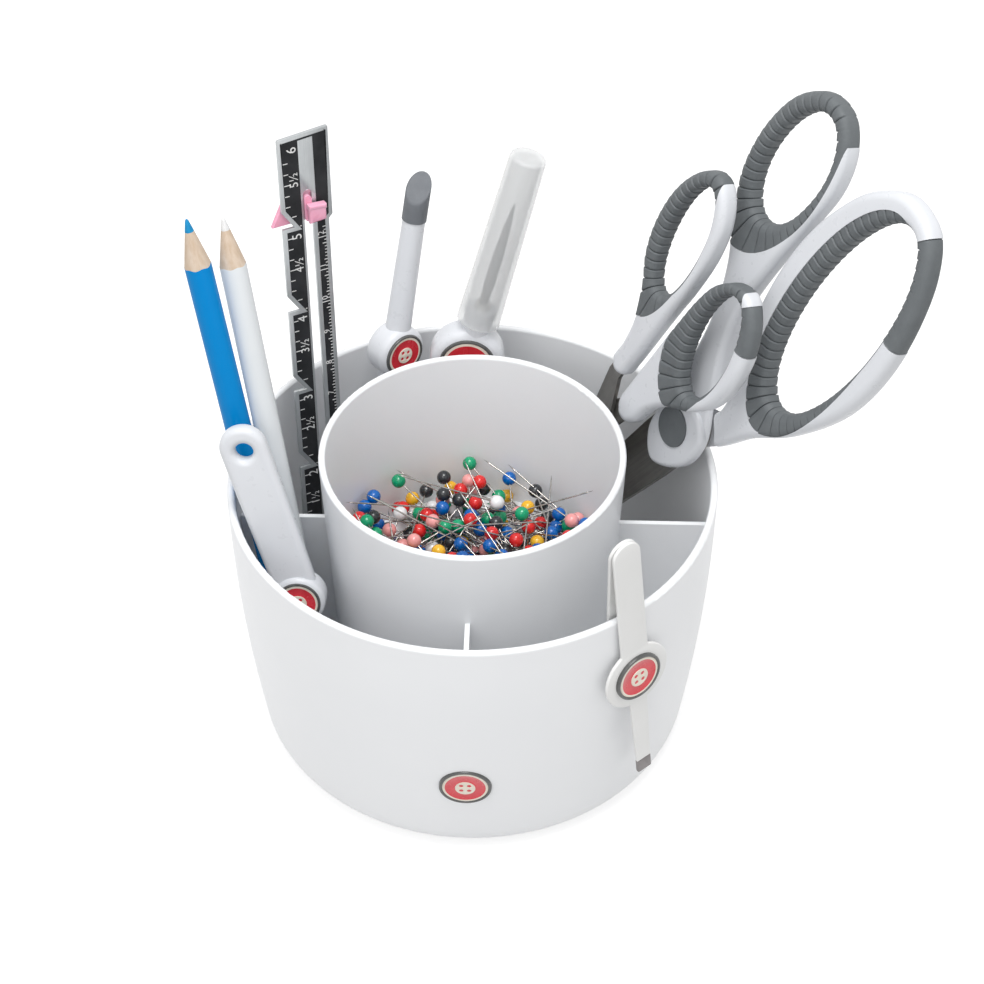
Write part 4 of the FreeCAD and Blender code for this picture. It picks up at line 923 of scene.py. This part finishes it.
def makeRipper():
    matrix, boss = toolFrames["ripper"], ripper["boss"]
    outline = shifted(ripper["blade"], 0, boss + ripper["bladeLow"])
    shell = addPlate(newShell(), outline, [], ripper["thick"], ripper["bladeRound"], steps=3)
    blade = makeMesh("ripper_blade", shell, matrix, ["blade_steel"])
    setPiece(blade, "ripper", "ripper_spike")

    outer, tip, wall, soft, foot, cut = take(
        ripper, "capRadius capTopRadius wall round foot innerCut")
    low, top = boss + ripper["capLow"], boss + ripper["capTop"]
    inner, under = tip - wall, top - wall
    profile = [(outer - foot, low), (outer, low + foot)]
    profile += arcPoints(tip - soft, top - soft, soft, 0, 90, 6)
    profile += [(0, top), (0, under), (inner - cut, under), (inner, under - cut)]
    profile += [(ripper["mouth"], boss + ripper["mouthTop"])]
    profile += shifted(ripper["mouthEdge"], ripper["mouth"], low)
    cap = addLathe(newShell(), profile, 96, closed=True)
    makePiece("ripper_cap_frosted", cap, matrix, ["clear_cap"], "ripper_cap", "ripper_cap", 40)


makeRipper()
print("ripper made")

# seam presser: soft tip cut to a slant

presser = {"boss": 85.4, "low": 39.5, "top": 52.9, "radius": 3.42, "slope": 1.1, "soft": 0.45,
           "foot": 0.2, "dip": 0.22, "aim": -105.0, "around": 64}


def makePresserTip():
    fall = toolFrames["presser"].to_3x3().inverted() @ wayOf(presser["aim"])
    fall = Vector((fall.x, fall.y)).normalized()
    boss, radius, soft, foot, slope, count = take(presser, "boss radius soft foot slope around")
    low, middle = boss + presser["low"], boss + presser["top"] - slope * radius
    # rings of radius, share of the way to the cut, and lift
    rings = [(radius - foot, 0, 0), (radius, 0, foot), (radius, 0.5, 0), (radius, 1, -soft)]
    rings += [(reach, 1, lift) for reach, lift in
              arcPoints(radius - soft, -soft, soft, 0, 90, 4)[1:]]
    rings += [(radius * part, 1, -presser["dip"] * (1 - part ** 2)) for part in (0.7, 0.5, 0.3)]
    points = []
    for reach, share, lift in rings:
        for x, y in circleLoop(0, 0, reach, count):
            top = middle - slope * (x * fall.x + y * fall.y)
            points.append((x, y, low + lift + (top - low) * share))
    ends = [list(reversed(range(count))), list(range(len(points) - count, len(points)))]
    shell = addFaces(newShell(), points, ringFaces(len(rings), count) + ends)
    makePiece("presser_soft_tip", shell, toolFrames["presser"], ["grey_tip"], "presser",
              "presser_tip", 40)


makePresserTip()
print("presser tip made")

# pencils: lacquer ends in scallops where the sharpener met the flats

pencils = {"blue_pencil": {"long": 161.5, "paint": "blue_paint", "lead": "blue_lead"},
           "white_pencil": {"long": 159.5, "paint": "white_paint", "lead": "white_lead"}}
pencilShape = {
    "flats": 6.4, "radius": 3.45, "soft": 0.035, "cone": 14.0, "lead": 3.4, "point": 0.35,
    "around": 96, "sink": 0.06, "hollow": 0.05, "under": 0.5, "seat": 0.2, "leadEdge": (0.02, 0.15),
    "blunt": [(0.8, 0.15), (0.4, 0.02), (0, 0)], "bluntLow": 0.5,
    "lacquer": [(0.25, 0, 0), (0, 0, 0.3), (0, 0.5, 0), (0, 1, -0.15), (0.05, 1, 0)],
}


def hexRadius(turn):
    # six flats worn almost round
    return pencilShape["radius"] - pencilShape["soft"] * math.cos(math.radians(turn * 6))


def addRings(shell, rings, closeLow, closeHigh):
    # rings of (radius, level) lists joined one to the next, with a fan at each end
    count, points = pencilShape["around"], []
    for ring in rings:
        for k, (radius, level) in enumerate(ring):
            turn = 2 * math.pi * k / count
            points.append((radius * math.cos(turn), radius * math.sin(turn), level))
    faces = ringFaces(len(rings), count)
    for level, start in ((closeLow, 0), (closeHigh, len(points) - count)):
        points.append((0, 0, level))
        faces += [[start + k, start + (k + 1) % count, len(points) - 1] for k in range(count)]
    return addFaces(shell, points, faces)


def makePencil(tool, look):
    matrix, tall = toolFrames[tool], look["long"]
    flats, cone, point, deep, count = take(pencilShape, "flats cone point lead around")
    slope = (flats / 2 / math.cos(math.radians(30)) - point) / cone
    sides = [hexRadius(360 * k / count) for k in range(count)]
    edge = [(radius, tall - (radius - point) / slope) for radius in sides]
    lowest = min(level for _, level in edge)
    # rings of the lacquer: inset, share of the way up, and lift
    rings = [[(radius - inset, level * share + lift) for radius, level in edge]
             for inset, share, lift in pencilShape["lacquer"]]
    paint = addRings(newShell(), rings, 0, lowest - pencilShape["under"])
    makePiece(tool + "_lacquer", paint, matrix, [look["paint"]], tool, tool + "_barrel", 24)

    leadLow, leadRadius = tall - deep, point + slope * deep
    rings = [[(radius - pencilShape["sink"], level) for radius, level in edge]]
    for share in (0.25, 0.5, 0.75, 1.0):
        hollow = pencilShape["hollow"] * (1 - share)
        rings.append([(radius + (leadRadius - radius) * share - hollow,
                       level + (leadLow - level) * share) for radius, level in edge])
    wood = addRings(newShell(), rings, lowest, leadLow - pencilShape["seat"])
    makePiece(tool + "_cone", wood, matrix, ["pencil_wood"], tool, tool + "_wood", 60)

    (edgeIn, edgeUp), blunt = pencilShape["leadEdge"], pencilShape["bluntLow"]
    profile = [(0, leadLow), (leadRadius, leadLow), (leadRadius - edgeIn, leadLow + edgeUp),
               (point + slope * blunt, tall - blunt)]
    profile += [(point * share, tall - drop) for share, drop in pencilShape["blunt"]]
    tip = addLathe(newShell(), profile, 48)
    makePiece(tool + "_point", tip, matrix, [look["lead"]], tool, tool + "_lead", 60)


for tool, look in pencils.items():
    makePencil(tool, look)
print("pencils made")

# tweezers: sprung arms with a disc and dipped ends

tweezers = {"long": 82.8, "end": 78.6, "thick": 1.0, "topHalf": 4.2, "lowHalf": 3.0,
            "tipHalf": 2.2, "tipShare": 0.92, "tipCut": 0.2, "tipRound": 0.15,
            "discLevel": -46.5, "disc": 9.9, "round": 0.32, "corner": 14, "pitch": 0.4}


def armHalf(level, disc):
    wide, below = tweezers["topHalf"], level - tweezers["discLevel"]
    if level > -wide:
        wide = math.sqrt(max(wide ** 2 - (level + wide) ** 2, 0))
    elif below <= 0:
        share = below / (-tweezers["end"] - tweezers["discLevel"])
        wide = tweezers["lowHalf"] + (tweezers["tipHalf"] - tweezers["lowHalf"]) * share
    if disc and abs(below) < tweezers["disc"]:
        wide = max(wide, math.sqrt(tweezers["disc"] ** 2 - below ** 2))
    return wide


def armLoop(disc):
    top, end, corner = tweezers["topHalf"], -tweezers["end"], tweezers["corner"]
    levels = [-top + top * math.cos(math.pi / 2 * k / corner) for k in range(1, corner + 1)]
    run = int((-top - end) / tweezers["pitch"])
    levels += [-top + (end + top) * k / run for k in range(1, run + 1)]
    right = [(armHalf(level, disc), level) for level in levels]
    return [(0, 0)] + right + mirrored(right)


def makeTweezers():
    end, long, half, cut, thick = take(tweezers, "end long tipHalf tipCut thick")
    edge = half * tweezers["tipShare"]
    tip = [(-half, -end), (half, -end), (half, cut - long), (edge, -long), (-edge, -long),
           (-half, cut - long)]
    for name, middle in (("outer", -thick / 2), ("inner", thick / 2)):
        matrix = toolFrames["tweezers"] @ Matrix.Rotation(tweezerLean[name], 4, "X")
        body = "tweezers_" + name
        arm = addPlate(newShell(), armLoop(name == "outer"), [], thick, tweezers["round"],
                       middle=middle, steps=3)
        makePiece(body + "_enamel", arm, matrix, ["tweezer_paint"], body, body + "_arm")
        dipped = addPlate(newShell(), tip, [], thick, tweezers["tipRound"], middle=middle, steps=2)
        makePiece(body + "_dipped_end", dipped, matrix, ["tweezer_tip"], body, body + "_tip")


makeTweezers()
print("tweezers made")

# lint brush: a tuft of single bristles, and the handle

bristles = {"rows": 15, "deep": 7, "wide": 7.4, "thick": 3.4, "top": 14.0, "radius": 0.17,
            "seed": 3, "footWide": 1.04, "footDeep": 1.02, "splayWide": 0.175, "splayDeep": 0.105,
            "footRadius": 0.6, "uneven": 0.7, "sides": 5}
brush = {
    "boss": 60.7, "bossRadius": 7.0, "bossThick": 7.0, "bossRound": 1.4, "half": 6.25, "low": 5.6,
    "thick": 4.4, "round": 1.7, "top": 112.8, "holeDrop": 7.0, "hole": 2.38, "neck": 3.0,
    "neckLow": 22.0, "badge": 5.95, "badgeDeep": 0.5,
}


def makeBristles():
    chooser, shell = random.Random(bristles["seed"]), newShell()
    top, radius, count = take(bristles, "top radius sides")
    faces = ringFaces(3, count) + [list(range(count)), list(reversed(range(2 * count, 3 * count)))]
    for row in range(bristles["rows"]):
        for line in range(bristles["deep"]):
            x = ((row + 0.5) / bristles["rows"] - 0.5) * bristles["wide"]
            y = ((line + 0.5) / bristles["deep"] - 0.5) * bristles["thick"]
            footX = x * bristles["footWide"] + chooser.uniform(-1, 1) * bristles["splayWide"]
            footY = y * bristles["footDeep"] + chooser.uniform(-1, 1) * bristles["splayDeep"]
            low = chooser.uniform(0.0, bristles["uneven"])
            rings = ((x, y, radius, top), (x, y, radius, top / 2),
                     (footX, footY, radius * bristles["footRadius"], low))
            addFaces(shell, [(*spot, level) for across, deep, wide, level in rings
                             for spot in circleLoop(across, deep, wide, count)], faces)
    makePiece("brush_tuft", shell, toolFrames["brush"], ["bristle"], "brush", "brush_bristles", 60)


def makeBrushHandle():
    matrix, level, half, low, top = toolFrames["brush"], *take(brush, "boss half low top")
    sides = [(-half + (half - low) * share ** 2, top - half - (top - half - level) * share)
             for share in (0.25, 0.5, 0.75)]
    outline = arcPoints(0, top - half, half, 0, 180, 24) + sides
    outline += arcPoints(0, level, low, 180, 360, 12) + mirrored(sides)
    hole = circleLoop(0, top - brush["holeDrop"], brush["hole"])
    plate = addPlate(newShell(), outline, [hole], brush["thick"], brush["round"], steps=6)
    handle = makeMesh("brush_handle_moulding", plate, matrix)

    thick, soft, badge = brush["bossThick"] / 2, brush["bossRound"], brush["badge"]
    edge = arcPoints(brush["bossRadius"] - soft, thick - soft, soft, 90, 0, 4)
    seat = thick - brush["badgeDeep"]
    profile = [(0, seat), (badge, seat), (badge, thick)] + edge
    profile += [(across, -up) for across, up in reversed(edge)] + [(0, -thick)]
    boss = addLathe(newShell(), profile, 72, matrix=Matrix.Translation((0, 0, level)) @ toFront)
    neck = addLathe(newShell(), [(0, brush["neckLow"]), (brush["neck"], brush["neckLow"]),
                                 (brush["neck"], level), (0, level)], 40)
    carve(handle, [makeMesh("boss", boss, matrix), makeMesh("neck", neck, matrix)], "UNION")
    setPiece(handle, "brush", "brush_handle")


makeBristles()
makeBrushHandle()
print("brush made")

# pins: a heap in the cup's tray

pins = {"seed": 11, "count": 300, "head": 2.0, "shaft": 0.22, "long": 30.0, "point": 2.5,
        "floor": 42.0, "above": 0.4, "room": 34.2, "rim": 1.2, "widen": 0.045, "heap": 15.5,
        "gap": 3.8, "clear": 0.9, "upright": 0.1, "tries": 40, "steep": (0.25, 0.5), "drop": 3,
        "crowd": 1.1, "spread": (0.75, 1.0), "seat": 0.9,
        "colours": ("red", "green", "blue", "yellow", "pink", "white", "black", "white", "blue",
                    "green")}


def segmentReach(point, start, run):
    share = min(max((point - start).dot(run) / run.length_squared, 0.0), 1.0)
    return (point - start - run * share).length


def choosePin(chooser, height):
    # head centre and the run of its shaft, or nothing if the far end would leave the tray
    turn, spread = chooser.uniform(0, 2 * math.pi), math.sqrt(chooser.random())
    reach = (pins["room"] + pins["widen"] * height) * spread
    centre = Vector((reach * math.cos(turn), reach * math.sin(turn),
                     pins["floor"] + pins["head"] + height))
    fall = centre.z - pins["floor"] - pins["above"]
    if chooser.random() < pins["upright"]:
        rise = chooser.uniform(*pins["steep"])
    else:
        rise = -(fall - chooser.uniform(0, pins["drop"])) / pins["long"]
    rise = max(rise, -fall / pins["long"])
    way, flat = chooser.uniform(0, 2 * math.pi), math.sqrt(1 - rise ** 2)
    run = Vector((flat * math.cos(way), flat * math.sin(way), rise)) * pins["long"]
    end = centre + run
    room = pins["room"] + pins["rim"] + pins["widen"] * (end.z - pins["floor"])
    return (centre, run) if math.hypot(end.x, end.y) < room else None


def isClear(pin, other):
    return ((pin[0] - other[0]).length > pins["gap"]
            and segmentReach(other[0], *pin) > pins["clear"]
            and segmentReach(pin[0], *other) > pins["clear"])


def makePins():
    chooser, placed = random.Random(pins["seed"]), []
    for number in range(pins["count"]):
        height = pins["heap"] * (number / pins["count"]) ** pins["crowd"]
        for _ in range(pins["tries"]):
            pin = choosePin(chooser, height * chooser.uniform(*pins["spread"]))
            if pin and all(isClear(pin, other) for other in placed):
                placed.append(pin)
                break
    balls, wires = {colour: newShell() for colour in pins["colours"]}, newShell()
    head, shaft, long = take(pins, "head shaft long")
    ball = arcPoints(0, 0, head, -90, 90, 12)
    start = head * pins["seat"]
    wire = [(0, start), (shaft, start), (shaft, long - pins["point"]), (0, long)]
    for centre, run in placed:
        colour = pins["colours"][chooser.randrange(len(pins["colours"]))]
        seat = Matrix.Translation(centre)
        addLathe(balls[colour], ball, 20, matrix=seat)
        lay = seat @ run.to_track_quat("Z", "Y").to_matrix().to_4x4()
        addLathe(wires, wire, 8, matrix=lay)
    for colour, shell in balls.items():
        makePiece("pin_balls_" + colour, shell, Matrix.Identity(4), ["head_" + colour], "pins",
                  "pin_heads_" + colour, 60)
    makePiece("pin_wires", wires, Matrix.Identity(4), ["pin_steel"], "pins", "pin_shafts", 60)
    print("pins placed:", len(placed))


makePins()

# floor, lights and camera

studio = {
    "key": {"spot": (-0.3, -0.7, 0.8), "size": 0.7, "power": 2.3},
    "top": {"spot": (0.0, -0.15, 1.05), "size": 0.5, "power": 6.4},
    "side": {"spot": (0.5, -0.7, 0.3), "size": 0.6, "power": 0.3},
}
room = {"reach": 6.0, "grey": (0.5, 0.5, 0.5, 1), "white": (1, 1, 1, 1), "glow": 0.66,
        "sky": 0.68, "aim": (0.0, 0.0, 0.07)}
view = {"lens": 91.46, "sensor": 36.0, "spot": (0.01966, -0.48961, 0.5287),
        "turn": (47.349, 0.0, 1.698)}


def seenRays(tree):
    # 1 for rays that show a surface as it is, 0 for rays that only carry its light
    rays = addNode(tree, "ShaderNodeLightPath").outputs
    most = addMath(tree, "MAXIMUM", rays["Is Camera Ray"], rays["Is Glossy Ray"])
    return addMath(tree, "MAXIMUM", most, rays["Is Transmission Ray"])


def makeFloor():
    skin, tree, shader = newSkin("floor_skin")
    setInputs(tree, shader, {
        "Roughness": 0.9, "Specular IOR Level": 0.0, "Base Color": room["grey"],
        "Emission Color": room["white"],
        "Emission Strength": addRange(tree, seenRays(tree), 0.0, 1.0, 0.0, room["glow"])})
    mesh = bpy.data.meshes.new("floor")
    reach = room["reach"]
    corners = [(-reach, -reach, 0), (reach, -reach, 0), (reach, reach, 0), (-reach, reach, 0)]
    mesh.from_pydata(corners, [], [[0, 1, 2, 3]])
    mesh.materials.append(skin)
    makeObject("floor", mesh)


def makeLamp(name, lamp):
    light = bpy.data.lights.new(name, "AREA")
    light.shape, light.size, light.energy = "DISK", lamp["size"], lamp["power"]
    holder = makeObject(name, light)
    holder.location = lamp["spot"]
    aim = Vector(room["aim"]) - Vector(lamp["spot"])
    holder.rotation_euler = aim.to_track_quat("-Z", "Y").to_euler()


def makeSky():
    world = bpy.data.worlds.new("studio")
    bpy.context.scene.world = world
    world.use_nodes = True
    tree = world.node_tree
    strength = addRange(tree, seenRays(tree), 0.0, 1.0, room["sky"], 1.0)
    setInputs(tree, tree.nodes["Background"], {"Color": room["white"], "Strength": strength})


def makeCamera():
    lens = bpy.data.cameras.new("camera")
    lens.lens, lens.sensor_width = view["lens"], view["sensor"]
    camera = makeObject("camera", lens)
    camera.location = view["spot"]
    camera.rotation_euler = [math.radians(turn) for turn in view["turn"]]
    bpy.context.scene.camera = camera


makeFloor()
for name, lamp in studio.items():
    makeLamp(name + "_lamp", lamp)
makeSky()
makeCamera()
bpy.context.scene.view_settings.view_transform = "Standard"
print("studio made")
